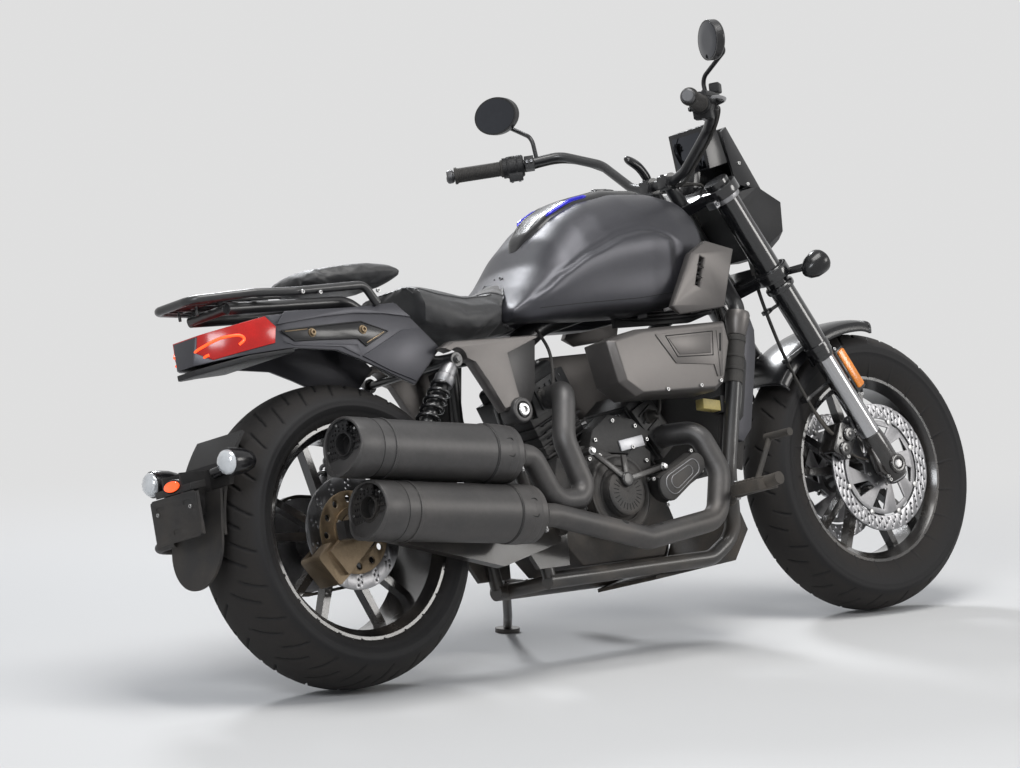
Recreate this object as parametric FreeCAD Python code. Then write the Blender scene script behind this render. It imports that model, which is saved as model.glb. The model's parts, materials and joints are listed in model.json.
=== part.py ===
import FreeCAD, Part
import math
import os

os.makedirs("parts", exist_ok=True)

V = FreeCAD.Vector

# A cruiser motorcycle parked on its side stand. It is modelled upright, x forward from the rear axle,
# y to the rider's left and z up from the tyres' lowest points, then leaned onto the stand and shifted
# so that the origin is under the middle of its box. Millimetres and degrees.

# Stance. The datum line x = 0 lies REAR_AXLE_BACK ahead of the rear axle, and AXLE_TO_PIVOT starts there.
LEAN = 15.2
STEER_AT_REST = -3.8
STEER_LOCK = 36
RAKE = 30
TRAIL = 125
REAR_AXLE_BACK = 20
AXLE_TO_PIVOT = 470
PIVOT_TO_CRANK = 180
CRANK_TO_AXLE = 898
WHEELBASE = AXLE_TO_PIVOT + PIVOT_TO_CRANK + CRANK_TO_AXLE
PIVOT_Z = 262
CRANK_Z = 338
FIT = 0.3
GAP = 0.5
OVERRUN = 5
FAR = 2000
ARC_SHARE = 0.45

# Wheels
REAR_TYRE_R = 315
REAR_TYRE_W = 200
REAR_CROWN_R = 130
REAR_RIM_R = 226
REAR_RIM_HALF = 82
FRONT_TYRE_R = 325
FRONT_TYRE_W = 142
FRONT_CROWN_R = 86
FRONT_RIM_R = 219
FRONT_RIM_HALF = 50
TREAD_FLAT_SHARE = 0.36
RIM_WALL = 7
RIM_WELL = 24
RIM_SLOPE = 20
SPOKE_PAIRS = 5
SPOKE_WIDTH = 15
SPOKE_ROOT_SHARE = 1.35
SPOKE_DEPTH = 24
SPOKE_SPREAD = 26
SPOKE_SHIFT_REAR = 10
HUB_R = 40
HUB_HALF_REAR = 88
AXLE_R = 10
AXLE_BORE = 10.05
AXLE_NUT_R = 17

# Brakes and final drive
FRONT_DISC_R = 149
FRONT_DISC_Y = 79
REAR_DISC_R = 119
REAR_DISC_Y = 55
DISC_THICK = 5
DISC_BAND = 34
DISC_ARMS = 8
DISC_ARM_W = 12
DISC_ARM_SWEEP = 14
DISC_SEAT_R = 52
FRONT_DISC_BORE = 20
CALIPER_OVER = 16
CALIPER_LENGTH = 76
CALIPER_ROUND = 8
CALIPER_SLOT = 5
CALIPER_HALF_REAR = 21
CALIPER_HALF_FRONT = 26
CALIPER_TURN_REAR = 215
CALIPER_TURN_FRONT = 150
CARRIER_R = 27
CARRIER_THICK = 14
CARRIER_SWEEP = 16
PULLEY_R = 95
PULLEY_FLANGE = 4
PULLEY_Y = 118
PULLEY_W = 22
BELT_W = 20
BELT_THICK = 6
BELT_GAP = 1
FRONT_PULLEY_R = 42
FRONT_PULLEY_AHEAD = 75
FRONT_PULLEY_UP = 38

# Fork, measured along its legs from the axle (up) and square to them (ahead)
FORK_Y = 113
FORK_TOP = 769
FORK_CROWN = 540
FORK_SLIDER_R = 24
FORK_UPPER_R = 29
FORK_FOOT_R = 26
FORK_FOOT_TOP = 80
FORK_FOOT_LOW = 34
FORK_SLIDER_TOP = 318
FORK_CAP = 26
CLAMP_THICK = 26
CLAMP_EAR = 13
STEM_R = 13
STEM_BORE = 13.05
HEAD_TUBE_R = 31
HEAD_GAP = 2
FENDER_GAP = 14
FENDER_SIDE_GAP = 11
FENDER_CROWN = 16
FENDER_SHELL = 4
FENDER_FROM = 80
FENDER_TO = 141
FENDER_TAB_W = 36
FENDER_TAB_REACH = 40

# Lamp nacelle, screen and gauge, in fork measures (ahead, up)
NACELLE_AHEAD = 44
NACELLE_DEEP = 112
NACELLE_HALF = 90
NACELLE_BELOW = 18
NACELLE_SIDE_SHARES = ((0, 0.98), (0.76, 0.80), (1, 0.46), (0.68, 0.06), (0.20, 0), (0, 0.08))
NACELLE_FRONT_SHARES = ((0.50, 0), (0.86, 0.14), (1, 0.46), (0.88, 0.80), (0.56, 1))
LENS_SHARE = 0.72
LENS_PROUD = 3
LENS_DEEP = 30
NACELLE_STAY = 5
NACELLE_STAY_SHARES = ((-0.30, 0.35), (0.20, 0.30), (0.20, 0.70), (-0.30, 0.62))
SCREEN_LOW_REAR = (82, -26)
SCREEN_LOW_FRONT = (157, -83)
SCREEN_TOP_REAR = (156, 82)
SCREEN_TOP_FRONT = (184, 80)
SCREEN_LOW_HALVES = (76, 54)
SCREEN_TOP_HALVES = (42, 32)
SCREEN_THICK = 6
SCREEN_FOOT_SHARES = ((0.5, 0.868), (0.763, 0.832), (0.995, 0.77), (1.04, 0.90))
SCREEN_FOOT_HALF = 36
GAUGE_HALF = 58
GAUGE_SHARES = ((53, 26), (109, 8), (139, 104), (97, 116))
GAUGE_FOOT_SHARES = ((0, 0), (29, 0), (66, 34), (60, 54))
GAUGE_FOOT_HALF = 24

# Handlebar, relative to the clamp on its risers
RISER_Y = 32
RISER_R = 16
RISER_TALL = 62
RISER_CLAMP_R = 20
BAR_R = 11
BAR_BACK = 254
BAR_HALF = 430
BAR_RISE = 128
BAR_BEND = 60
BAR_SHARES = ((1, 1, 0.92), (0.535, 0.786, 0.92), (0.18, 0.647, 1), (-0.008, 0.442, 0.672), (0, 0.221, 0.094),
              (0, 0.13, 0))
GRIP_R = 17
GRIP_LENGTH = 122
GRIP_CAP = 8
POD_R = 24
POD_LENGTH = 34
LEVER_R = 6
LEVER_LENGTH = 150
LEVER_AHEAD = 48
LEVER_SHARES = ((0.94, 0), (1, 0.4), (0.75, 1))
LEVER_BEND = 15
MIRROR_Y = 385
MIRROR_BACK = 132
MIRROR_UP = 249
MIRROR_W = 115
MIRROR_H = 88
MIRROR_THICK = 20
MIRROR_ROUND = 6
MIRROR_TOE = 20
MIRROR_STEM_R = 5
MIRROR_KNEE_SHARE = 0.42
MIRROR_ROOT_SHARE = 0.5
MIRROR_STEM_AHEAD = 40
MIRROR_BEND = 30

# Frame
BACKBONE_R = 26
DOWNTUBE_R = 18
DOWNTUBE_Y = 148
RAIL_R = 15
RAIL_Z = 161
RAIL_REAR_Y = 86
TUBE_BEND = 70
BACKBONE_SHARES = ((1, 0, 1), (0.741, 0, 0.67), (0.158, 0, 0.294), (0, 0, 0))
CRADLE_SHARES = ((0.952, 0.16, 1.06), (0.838, 1, 0.902), (0.677, 1, 0.305), (0.700, 0.757, 0.073), (0.591, 0.757, 0),
                 (-0.02, 0.581, 0))
RISER_SHARES = ((-0.01, 0.581, 0.012), (-0.03, 0.581, 0.288), (-0.066, 0.50, 0.75), (-0.066, 0.42, 1))
CRADLE_CROSS_SHARE = 0.03
SEAT_CROSS_AHEAD = 70
SEAT_CROSS_Z = 668
SEAT_RAIL_R = 12.5
TAIL_CROSS_R = 10
SEAT_RAIL_Y = 62
SEAT_RAIL_BACK = 250
SEAT_RAIL_KNEE = 60
TAIL_RAIL_Z = 792
PIVOT_R = 13
PIVOT_PLATE = 12
PIVOT_PLATE_Y = 98
PIVOT_PLATE_SHARES = ((-46, -75), (40, -75), (56, 60), (-60, 90), (-90, 0))

# Swingarm and shocks
ARM_RIGHT_Y = 123
ARM_LEFT_Y = 144
ARM_W = 26
ARM_HEIGHT = 52
ARM_TIP_SHARE = 0.7
ARM_AXLE_SHARE = 0.9
ARM_DIP_BACK = 170
ARM_DIP_DOWN = 36
ARM_CROSS_BACK = 118
ARM_CROSS_R = 14
AXLE_PLATE = 84
SHOCK_TOP = V(262, 0, 642)
SHOCK_LOW = V(62, 0, 392)
SHOCK_RIGHT_Y = 130
SHOCK_LEFT_Y = 162
SHOCK_PIN_R = 8
EAR_THICK = 7
EAR_W = 18
SHOCK_COIL_R = 24
SHOCK_BODY_R = 14
SHOCK_CAN_R = 22
SHOCK_EYE_R = 16
SHOCK_EYE_W = 28
SHOCK_COIL_FROM_SHARE = 0.24
SHOCK_COIL_TO_SHARE = 0.84
SHOCK_TURNS = 8
SHOCK_GROOVE = 5

# Tail cover, lamp and rack
TAIL_REAR = 333
TAIL_LENGTH = 577
TAIL_Z = 600
TAIL_HEIGHT = 172
TAIL_HALF = 122
TAIL_WALL = 5
TAIL_ROOF_SHARE = 0.84
TAIL_HOLLOW_SHARE = 0.36
TAIL_SIDE_SHARES = ((0.004, 0.50), (0.02, 0.83), (0.253, 0.965), (0.622, 0.97), (0.83, 1), (1, 0.42), (0.854, 0),
                    (0.62, 0.36), (0.525, 0.488), (0.333, 0.555), (0.16, 0.53))
TAIL_PLAN_SHARES = ((0, 0.20), (0.057, 0.50), (0.16, 0.82), (0.317, 0.97), (1, 0.97))
LIP_SIDE_SHARES = ((0.008, 0.385), (0.002, 0.45), (0.16, 0.52), (0.333, 0.545), (0.333, 0.50), (0.17, 0.46))
LAMP_SIDE_SHARES = ((0.018, 0.64), (0.026, 0.845), (0.24, 0.955), (0.275, 0.82), (0.262, 0.63), (0.055, 0.53))
LAMP_PROUD = 2
RACK_Z = 815
RACK_R = 9
RACK_HALF = 122
RACK_REAR = 345
RACK_BEND = 30
RACK_SHARES = ((-0.27, 1, -1), (-0.19, 1, 0), (0.34, 1, -0.12), (0.60, 0.86, 0), (0.97, 0.50, 0))
RACK_DROP = 42
RACK_SLAT_SHARES = ((0.50, 0.92), (0.64, 0.82), (0.78, 0.68))
RACK_SPINE_Y = 26
RACK_SPINE_FROM_SHARE = 0.50
RACK_BAR_R = 6
RACK_SPINE_R = 5
RACK_POST_Y = 45

# Plate carrier and rear signals
HUGGER_R = 334
HUGGER_THICK = 7
HUGGER_HALF = 78
HUGGER_FROM = 138
HUGGER_TO = 176
FLAP_TOP = V(-352, 0, 430)
FLAP_DROP = 190
FLAP_BACK = 32
FLAP_HALF = 86
FLAP_THICK = 6
SIGNAL_Y = 118
SIGNAL_X = -331
SIGNAL_Z = 475
SIGNAL_R = 26
SIGNAL_TAIL_SHARE = 0.45
SIGNAL_LENGTH = 76
SIGNAL_BEHIND_SHARE = 0.6
SIGNAL_OUT = 12
STALK_R = 9
FRONT_SIGNAL_UP = 510
FRONT_SIGNAL_AHEAD = 66
FRONT_SIGNAL_Y = 192
FRONT_STALK_R = 7
FRONT_STALK_SHARE = 0.72
PLATE_X = -405
PLATE_Z = 345
PLATE_W = 156
PLATE_H = 86
PLATE_THICK = 8
PLATE_HOLE_R = 3.5
PLATE_HOLE_Y = 56
PLATE_HOLE_SHARE = 0.5
BEAM_DEEP = 56
BEAM_TALL = 40
BEAM_HALF = 96
WEB_HALF = 30
WEB_THICK = 6
CARRIER_ARM_R = 10
CARRIER_ARM_SHARES = ((0.13, 1, 0.03), (0.9, 1, 0.2), (0.915, 0.4, 0.2))

# Tank, console and shrouds
TANK_REAR_BACK = 90
TANK_FRONT_BACK = 109
TANK_BASE = 716
TANK_HEIGHT = 286
TANK_HALF = 172
TANK_STATION_SHARES = ((0, 0.80, 0.02, 0.12), (0.10, 0.86, 0, 0.31), (0.19, 0.89, 0, 0.47), (0.27, 0.92, 0, 0.67),
                       (0.37, 0.95, 0, 0.84), (0.47, 0.97, 0, 0.94), (0.64, 1, 0, 1), (0.82, 0.98, 0.05, 0.99),
                       (0.94, 0.88, 0.16, 0.93), (1, 0.68, 0.28, 0.80))
TANK_SECTION_SHARES = ((0, 0), (0.60, 0), (0.87, 0.05), (0.96, 0.30), (1, 0.52), (0.88, 0.74), (0.62, 0.92),
                       (0.30, 0.99), (0, 1))
TUNNEL_HALF = 42
CONSOLE_FROM_SHARE = 0.26
CONSOLE_TO_SHARE = 0.92
CONSOLE_HALF = 58
CONSOLE_RISE = 12
CONSOLE_DEEP = 60
CONSOLE_STATION_SHARES = ((0, 0.25), (0.12, 0.7), (0.25, 0.9), (0.4, 1), (0.6, 0.95), (0.8, 0.85), (1, 0.4))
CONSOLE_SECTION_SHARES = ((0, 0), (1, 0), (1, 0.72), (0.62, 0.94), (0, 1))
SHROUD_BACK = 308
SHROUD_LENGTH = 215
SHROUD_BELOW = 19
SHROUD_HEIGHT = 160
SHROUD_Y = 184
SHROUD_THICK = 22
SHROUD_EDGE = 8
SHROUD_SHARES = ((0, 0.12), (0.13, 0), (0.76, 0.06), (1, 0.86), (0.62, 1), (0.38, 0.84))
SHROUD_SLOT_SHARES = (0.30, 0.46, 0.62)
SHROUD_SLOT_W = 11
SHROUD_SLOT_FROM_SHARE = 0.30
SHROUD_SLOT_LEAN = 12
SHROUD_SLOT_LENGTH = 62
SHROUD_SLOT_DEEP = 8
SHROUD_BOSS_R = 14
SHROUD_BOSS_SHARES = (0.5, 0.55)

# Seats and side covers
SEAT_REAR_BACK = 325
SEAT_LENGTH = 345
SEAT_UP = 22
SEAT_HALF = 140
SEAT_HEIGHT = 152
SEAT_STATION_SHARES = ((0, 0.94, 0.20, 0.93), (0.18, 1, 0.06, 0.80), (0.42, 1, 0, 0.66), (0.62, 0.92, 0.05, 0.64),
                       (0.80, 0.72, 0.10, 0.74), (0.93, 0.50, 0.16, 0.92), (1, 0.30, 0.40, 1))
SEAT_SECTION_SHARES = ((0, 0), (0.60, 0), (0.90, 0.10), (1, 0.45), (0.94, 0.74), (0.76, 0.90), (0.45, 0.98), (0, 1))
PILLION_REAR_BACK = 590
PILLION_LENGTH = 255
PILLION_UP = 156
PILLION_HEIGHT = 48
PILLION_HALF = 106
PILLION_STATION_SHARES = ((0, 0.62, 0.1, 0.62), (0.1, 0.84, 0, 0.86), (0.5, 1, 0, 1), (0.88, 1, 0, 1), (1, 0.92, 0.08, 0.80))
SIDE_COVER_BACK = 316
SIDE_COVER_LENGTH = 274
SIDE_COVER_BELOW = 145
SIDE_COVER_HEIGHT = 158
SIDE_COVER_OUT = 150
SIDE_COVER_THICK = 26
SIDE_COVER_EDGE = 7
SIDE_COVER_SHARES = ((0.52, 0), (0.70, 0.04), (0.66, 0.80), (1, 0.98), (0.97, 1), (0.1, 1), (0, 0.92), (0.28, 0.70),
                     (0.39, 0.38))

# Engine, airbox, radiator and pan
CASE_HALF = 92
CASE_BACK = 145
CASE_LENGTH = 345
CASE_BELOW = 156
CASE_HEIGHT = 258
CASE_SHARES = ((0, 0.26), (0.16, 0), (0.86, 0), (1, 0.30), (0.91, 0.69), (0.70, 1), (0.28, 1), (0.10, 0.92), (0, 0.61))
BANK_REAR_TILT = -22
BANK_FRONT_TILT = 56
BARREL_W = 118
BARREL_D = 128
BARREL_FROM = 80
BARREL_TO = 215
FIN_COUNT = 6
FIN_OUT = 7
FIN_THICK = 5
HEAD_W = 142
HEAD_D = 150
HEAD_LENGTH = 58
COVER_W_SHARE = 0.82
COVER_D_SHARE = 0.84
COVER_LENGTH = 30
COVER_ROUND = 12
ROUND_COVER_R = 86
ROUND_COVER_DEEP = 62
ROUND_COVER_CAP_R = 52
ROUND_COVER_STEP_SHARE = 0.7
ROUND_COVER_LEFT_SHARE = 0.7
ROUND_COVER_AHEAD = 12
ROUND_COVER_BELOW = 14
ROUND_COVER_LEFT_AHEAD = 40
PUMP_R = 31
PUMP_FROM = V(114, 0, -18)
PUMP_TO = V(222, 0, 28)
PUMP_Y = 152
PUMP_FOOT_R = 20
AIRBOX_BACK = 2
AIRBOX_LENGTH = 368
AIRBOX_UP = 182
AIRBOX_HEIGHT = 154
AIRBOX_OUT = 205
AIRBOX_IN = 118
AIRBOX_EDGE = 14
AIRBOX_SHARES = ((0.04, 0.24), (0.16, 0.02), (0.82, 0), (0.90, 0.12), (1, 0.70), (0.985, 1), (0.24, 0.97), (0, 0.84))
RADIATOR_HALF = 120
RADIATOR_GUARD = 5
RADIATOR_AHEAD = 10
RADIATOR_THICK = 42
RADIATOR_FROM_SHARE = 0.06
RADIATOR_TO_SHARE = 0.97
GUARD_BACK = 14
GUARD_AHEAD = 12
GUARD_CAP = 26
RADIATOR_STAY_R = 6
RADIATOR_STAY_SHARES = (0.2, 0.8)
RADIATOR_STAY_REACH = 0.9
PAN_HALF = 96
PAN_BACK = 110
PAN_LENGTH = 305
PAN_BELOW = 206
PAN_HEIGHT = 130
PAN_SHARES = ((0.82, 0.14), (1, 0.64), (0.95, 1), (0.885, 1), (0.74, 0.41), (0, 0.06), (0, 0))

# Exhaust
MUFFLER_R = 61
MUFFLER_LIP = 6
MUFFLER_RECESS = 9
MUFFLER_SLANT = 24
MUFFLER_OUTLET_SHARE = 0.42
MUFFLER_RING = 8
MUFFLER_RING_SHARE = 0.2
BAND_RISE = 2
BAND_LENGTH = 34
MUFFLER_UP_REAR = V(-150, -232, 470)
MUFFLER_UP_FRONT = V(284, -214, 424)
MUFFLER_LOW_REAR = V(-114, -232, 339)
MUFFLER_LOW_FRONT = V(320, -214, 295)
HEADER_R = 25
HEADER_BEND = 60
HEADER_LEAD = 40
HEADER_PORT = 32
PORT_REAR = V(-95, -71.5, 215)
HEADER_REAR_OFFSETS = (V(-125, -165, 215), V(-168, -185, 110), V(-136, -195, -22), V(-232, -196, -22))
PORT_FRONT = V(222, -71.5, 105)
HEADER_FRONT_OFFSETS = (V(250, -160, 100), V(272, -185, 5), V(228, -196, -98), V(10, -198, -122))

# Foot controls
PEG_AHEAD = 248
PEG_Z = 287
PEG_Y = 250
PEG_LENGTH = 130
PEG_LIFT = 9
PEG_R = 14
PEG_STAY_R = 9
TOE_AHEAD = 138
TOE_UP = 114
TOE_Y = 244
TOE_LENGTH = 76
TOE_R = 9
TOE_ARM_R = 6
TOE_BEND = 30

# Side stand
STAND_PIVOT = V(550, 160, 163)
STAND_AXIS_TILT = V(0.07, 0.267, 0.961)
STAND_PIN_R = 6
STAND_PIN_PLAY = 0.06
STAND_PIN_LOW = 16
STAND_PIN_HIGH = 22
STAND_EYE_R = 15
STAND_EYE_HALF = 11.5
STAND_LUG = 12
STAND_LUG_TOP = 34
STAND_STAY_UP = 30
STAND_STAY_R = 6
STAND_FOLD = 118
STAND_LEG_R = 10
STAND_FOOT_X = 705
STAND_FOOT_Y = 357
STAND_PAD_R = 28
STAND_PAD_THICK = 10
STAND_PAD_SINK = 8
STAND_SAG = 10
STAND_BEND = 90


def polar(radius, degrees):
    a = math.radians(degrees)
    return V(radius * math.cos(a), 0, radius * math.sin(a))


def rod(a, b, radius):
    run = b.sub(a)
    return Part.makeCylinder(radius, run.Length, a, run)


def across(centre, half, radius):
    """A rod across the machine through centre, half as long to each side."""
    return rod(centre - V(0, half, 0), centre + V(0, half, 0), radius)


def box(x0, x1, y0, y1, z0, z1):
    return Part.makeBox(x1 - x0, y1 - y0, z1 - z0, V(x0, y0, z0))


def mirrored(shape):
    return shape.mirror(V(0, 0, 0), V(0, 1, 0))


def both_sides(shape):
    return Part.makeCompound([shape, mirrored(shape)])


def joined(shapes):
    first = shapes[0]
    return first.fuse(list(shapes[1:])).removeSplitter() if len(shapes) > 1 else first


def unit(v):
    return V(v).multiply(1 / v.Length)


def bent_tube(points, radius, bend):
    """A round tube: straight rods joined by tangent arcs."""
    pieces, start = [], points[0]
    for before, corner, after in zip(points, points[1:], points[2:]):
        back, ahead = unit(before - corner), unit(after - corner)
        half = back.getAngle(ahead) / 2
        shorter = min((before - corner).Length, (after - corner).Length)
        reach = min(bend / math.tan(half), shorter * ARC_SHARE)
        turn = reach * math.tan(half)
        first, last = corner + back * reach, corner + ahead * reach
        centre = corner + unit(back + ahead) * (turn / math.sin(half))
        ring = Part.Face(Part.Wire([Part.Circle(first, back * -1, radius).toShape()]))
        pieces.append(rod(start, first, radius))
        pieces.append(ring.revolve(centre, (first - centre).cross(back * -1), 180 - 2 * math.degrees(half)))
        start = last
    pieces.append(rod(start, points[-1], radius))
    return joined(pieces)


def outline(x0, z0, length, height, shares):
    return [V(x0 + length * sx, 0, z0 + height * sz) for sx, sz in shares]


def spots(low, high, shares):
    """Points inside the box from low to high, each by its shares of the box."""
    span = high - low
    return [V(low.x + span.x * sx, low.y + span.y * sy, low.z + span.z * sz) for sx, sy, sz in shares]


def closed(points):
    return Part.makePolygon(list(points) + [points[0]])


def slab(points, y0, y1):
    """A flat outline in the side view, given thickness from y0 to y1."""
    face = Part.Face(closed(points))
    face.translate(V(0, y0, 0))
    return face.extrude(V(0, y1 - y0, 0))


def plan_slab(points, z0, z1):
    """A flat outline in the plan view, given thickness from z0 to z1."""
    face = Part.Face(closed(points))
    face.translate(V(0, 0, z0))
    return face.extrude(V(0, 0, z1 - z0))


def bevelled_slab(points, y_in, y_out, edge):
    """A cover whose outer face is smaller than its outline by about the edge, all round."""
    middle = V(0, 0, 0)
    for p in points:
        middle = middle + p * (1 / len(points))
    way = math.copysign(1, y_out - y_in)
    inner = [p - unit(p - middle) * edge for p in points]
    shoulder = y_out - way * edge
    wires = [closed([V(p.x, shoulder, p.z) for p in points]), closed([V(p.x, y_out, p.z) for p in inner])]
    return joined([slab(points, y_in, shoulder), Part.makeLoft(wires, True, True)])


def ring_y(profile, centre):
    """A closed profile of (radius, y) points turned about the axle line through centre."""
    face = Part.Face(closed([V(r, y, 0) for r, y in profile]))
    face = face.revolve(V(0, 0, 0), V(0, 1, 0), 360)
    face.translate(centre)
    return face


def station(x, half, low, high, shares):
    """One cross-section at x from half-outline shares of width and height."""
    right = [V(x, -half * sy, low + (high - low) * sz) for sy, sz in shares]
    left = [V(x, half * sy, low + (high - low) * sz) for sy, sz in reversed(shares) if sy > 0]
    return right + left


def smooth_loft(sections):
    """A skin through sections whose outlines are rounded through their points."""
    wires = []
    for points in sections:
        curve = Part.BSplineCurve()
        curve.interpolate(Points=points, PeriodicFlag=True)
        wires.append(Part.Wire([curve.toShape()]))
    return Part.makeLoft(wires, True, True)


def plain_loft(sections):
    """A skin of flat-sided bands through sections with straight outlines."""
    return Part.makeLoft([closed(points) for points in sections], True, True)


# Where the axles, the steering axis and the stand's foot lie
LEAN_COS = math.cos(math.radians(LEAN))
LEAN_SIN = math.sin(math.radians(LEAN))
RAKE_COS = math.cos(math.radians(RAKE))
RAKE_SIN = math.sin(math.radians(RAKE))
STEER_FOOT = V(WHEELBASE + TRAIL, 0, 0)
STEER_AXIS = V(-RAKE_SIN, 0, RAKE_COS)
FORK_AHEAD = V(RAKE_COS, 0, RAKE_SIN)
REAR_AXLE = V(-REAR_AXLE_BACK, 0, REAR_TYRE_R)
PIVOT = V(AXLE_TO_PIVOT, 0, PIVOT_Z)
CRANK = V(AXLE_TO_PIVOT + PIVOT_TO_CRANK, 0, CRANK_Z)
SEAT_CROSS = V(PIVOT.x + SEAT_CROSS_AHEAD, 0, SEAT_CROSS_Z)


def steered(point):
    return FreeCAD.Rotation(STEER_AXIS, STEER_AT_REST).multVec(point.sub(STEER_FOOT)).add(STEER_FOOT)


def leaned(point):
    return V(point.x, point.y * LEAN_COS + point.z * LEAN_SIN, point.z * LEAN_COS - point.y * LEAN_SIN)


def tread(radius, crown_r, width):
    """The tyre's outer profile on one side: the flat's edge and the shoulder."""
    half = width / 2
    drop = crown_r - math.sqrt(max(crown_r ** 2 - half ** 2, 0))
    return [(radius, half * TREAD_FLAT_SHARE), (radius - drop, half)]


def tyre_low(centre, axle_way, radius, crown_r, width):
    """Height of a leaned tyre's lowest point, from its axle line and tread."""
    middle, way = leaned(centre), leaned(axle_way)
    down = math.sqrt(1 - way.z ** 2)
    return middle.z - max(r * down + y * abs(way.z) for r, y in tread(radius, crown_r, width))


FLOOR = tyre_low(REAR_AXLE, V(0, 1, 0), REAR_TYRE_R, REAR_CROWN_R, REAR_TYRE_W)


def front_axle_height():
    """The height at which the steered front tyre touches the floor that the rear one stands on."""
    way = FreeCAD.Rotation(STEER_AXIS, STEER_AT_REST).multVec(V(0, 1, 0))
    low, high = (tyre_low(steered(V(WHEELBASE, 0, height)), way, FRONT_TYRE_R, FRONT_CROWN_R, FRONT_TYRE_W)
                 for height in (0, FRONT_TYRE_R))
    return FRONT_TYRE_R * (FLOOR - low) / (high - low)


FRONT_AXLE = V(WHEELBASE, 0, front_axle_height())
FORK_OFFSET = FRONT_AXLE.z * RAKE_SIN - TRAIL * RAKE_COS


def fork(up, ahead, side=0):
    """A point given along the fork legs, ahead of them and to one side."""
    return FRONT_AXLE + STEER_AXIS * up + FORK_AHEAD * ahead + V(0, side, 0)


def along_head(up, side=0):
    return fork(up, -FORK_OFFSET, side)


HEAD_LOW = along_head(FORK_CROWN)
HEAD_MID = along_head((FORK_CROWN + FORK_TOP) / 2)
CRADLE_LOW = V(PIVOT.x, 0, RAIL_Z)
CRADLE_HIGH = V(HEAD_LOW.x, -DOWNTUBE_Y, HEAD_LOW.z)
STAND_AXIS = unit(STAND_AXIS_TILT)
STAND_FOOT = V(STAND_FOOT_X, STAND_FOOT_Y, (FLOOR + STAND_FOOT_Y * LEAN_SIN) / LEAN_COS)


# Wheels and brakes
def tyre(centre, radius, crown_r, width, rim_r, rim_half):
    """A road tyre in six bands: flat centre, two crowns, two walls and its seat on the rim."""
    right = [(r, -y) for r, y in tread(radius, crown_r, width)]
    seat = [(rim_r + FIT, FIT - rim_half), (rim_r + FIT, rim_half - FIT)]
    return ring_y(right + seat + list(reversed(tread(radius, crown_r, width))), centre)


def rim(centre, rim_r, rim_half, hub_half, shift):
    """A cast wheel: barrel with a well, hub and pairs of thin spokes that part towards the barrel."""
    edge, well = rim_r - RIM_WALL, rim_r - RIM_WELL
    flat = rim_half - RIM_SLOPE
    profile = [(rim_r, -rim_half), (rim_r, rim_half), (edge, rim_half), (well, flat), (well, -flat),
               (edge, -rim_half)]
    pieces = [ring_y(profile, V(0, 0, 0)), across(V(0, 0, 0), hub_half, HUB_R)]
    for pair in range(SPOKE_PAIRS):
        for side in (-1, 1):
            angle = 360 / SPOKE_PAIRS * pair + 90 + side * SPOKE_SPREAD / 2
            root, tip = polar(HUB_R - SPOKE_WIDTH / 2, angle), polar(well + OVERRUN, angle)
            along = unit(tip - root)
            wide, thin = (V(along.z, 0, -along.x) * (SPOKE_WIDTH / 2 * k) for k in (SPOKE_ROOT_SHARE, 1))
            pieces.append(slab([root + wide, tip + thin, tip - thin, root - wide],
                               shift - SPOKE_DEPTH / 2, shift + SPOKE_DEPTH / 2))
    wheel = joined(pieces).cut(across(V(0, 0, 0), hub_half + OVERRUN, AXLE_BORE))
    wheel.translate(centre)
    return wheel


def disc(centre, radius, y, bore):
    """A brake disc: outer band, swept arms and the ring that bolts to the hub."""
    pieces = [ring_y([(r1, 0), (r1, DISC_THICK), (r0, DISC_THICK), (r0, 0)], V(0, 0, 0))
              for r0, r1 in ((radius - DISC_BAND, radius), (bore, DISC_SEAT_R))]
    for arm in range(DISC_ARMS):
        turn = 360 / DISC_ARMS * arm
        a, b = polar(DISC_SEAT_R - OVERRUN, turn), polar(radius - DISC_BAND + OVERRUN, turn + DISC_ARM_SWEEP)
        side = unit(V((b - a).z, 0, -(b - a).x)) * (DISC_ARM_W / 2)
        pieces.append(slab([a + side, b + side, b - side, a - side], 0, DISC_THICK))
    solid = joined(pieces)
    solid.translate(centre + V(0, y - DISC_THICK / 2, 0))
    return solid


def caliper(axle, radius, y, degrees, half, out=0):
    """A caliper body over the disc's edge, with a slot that the disc runs through."""
    length = CALIPER_LENGTH / 2
    block = box(radius - DISC_BAND - OVERRUN, radius + CALIPER_OVER, y - half - out, y + half, -length, length)
    corners = [e for e in block.Edges if abs(abs(e.CenterOfMass.z) - length) < FIT
               and abs(e.CenterOfMass.x - radius) > CALIPER_OVER - FIT]
    block = block.makeFillet(CALIPER_ROUND, corners)
    room = DISC_THICK / 2 + CALIPER_SLOT
    slot = box(0, radius + CALIPER_SLOT, y - room, y + room, -CALIPER_LENGTH, CALIPER_LENGTH)
    body = block.cut(slot)
    body.rotate(V(0, 0, 0), V(0, -1, 0), degrees)
    body.translate(axle)
    return body


def rear_caliper():
    """The rear caliper with its carrier plate round the axle, inboard of the right arm."""
    y = -ARM_RIGHT_Y + ARM_W / 2 + FIT
    turn = CALIPER_TURN_REAR
    block = caliper(REAR_AXLE, REAR_DISC_R, -REAR_DISC_Y, turn, CALIPER_HALF_REAR, CALIPER_HALF_REAR)
    root, tip = CARRIER_R, REAR_DISC_R - OVERRUN
    plate = slab([polar(root, turn + 90), polar(tip, turn + CARRIER_SWEEP), polar(tip, turn - CARRIER_SWEEP),
                  polar(root, turn - 90)], y, y + CARRIER_THICK)
    plate.translate(REAR_AXLE)
    ring = rod(REAR_AXLE + V(0, y, 0), REAR_AXLE + V(0, y + CARRIER_THICK, 0), CARRIER_R)
    return joined([block, plate, ring]).cut(rod(REAR_AXLE - V(0, ARM_LEFT_Y, 0), REAR_AXLE, AXLE_R + FIT))


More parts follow.
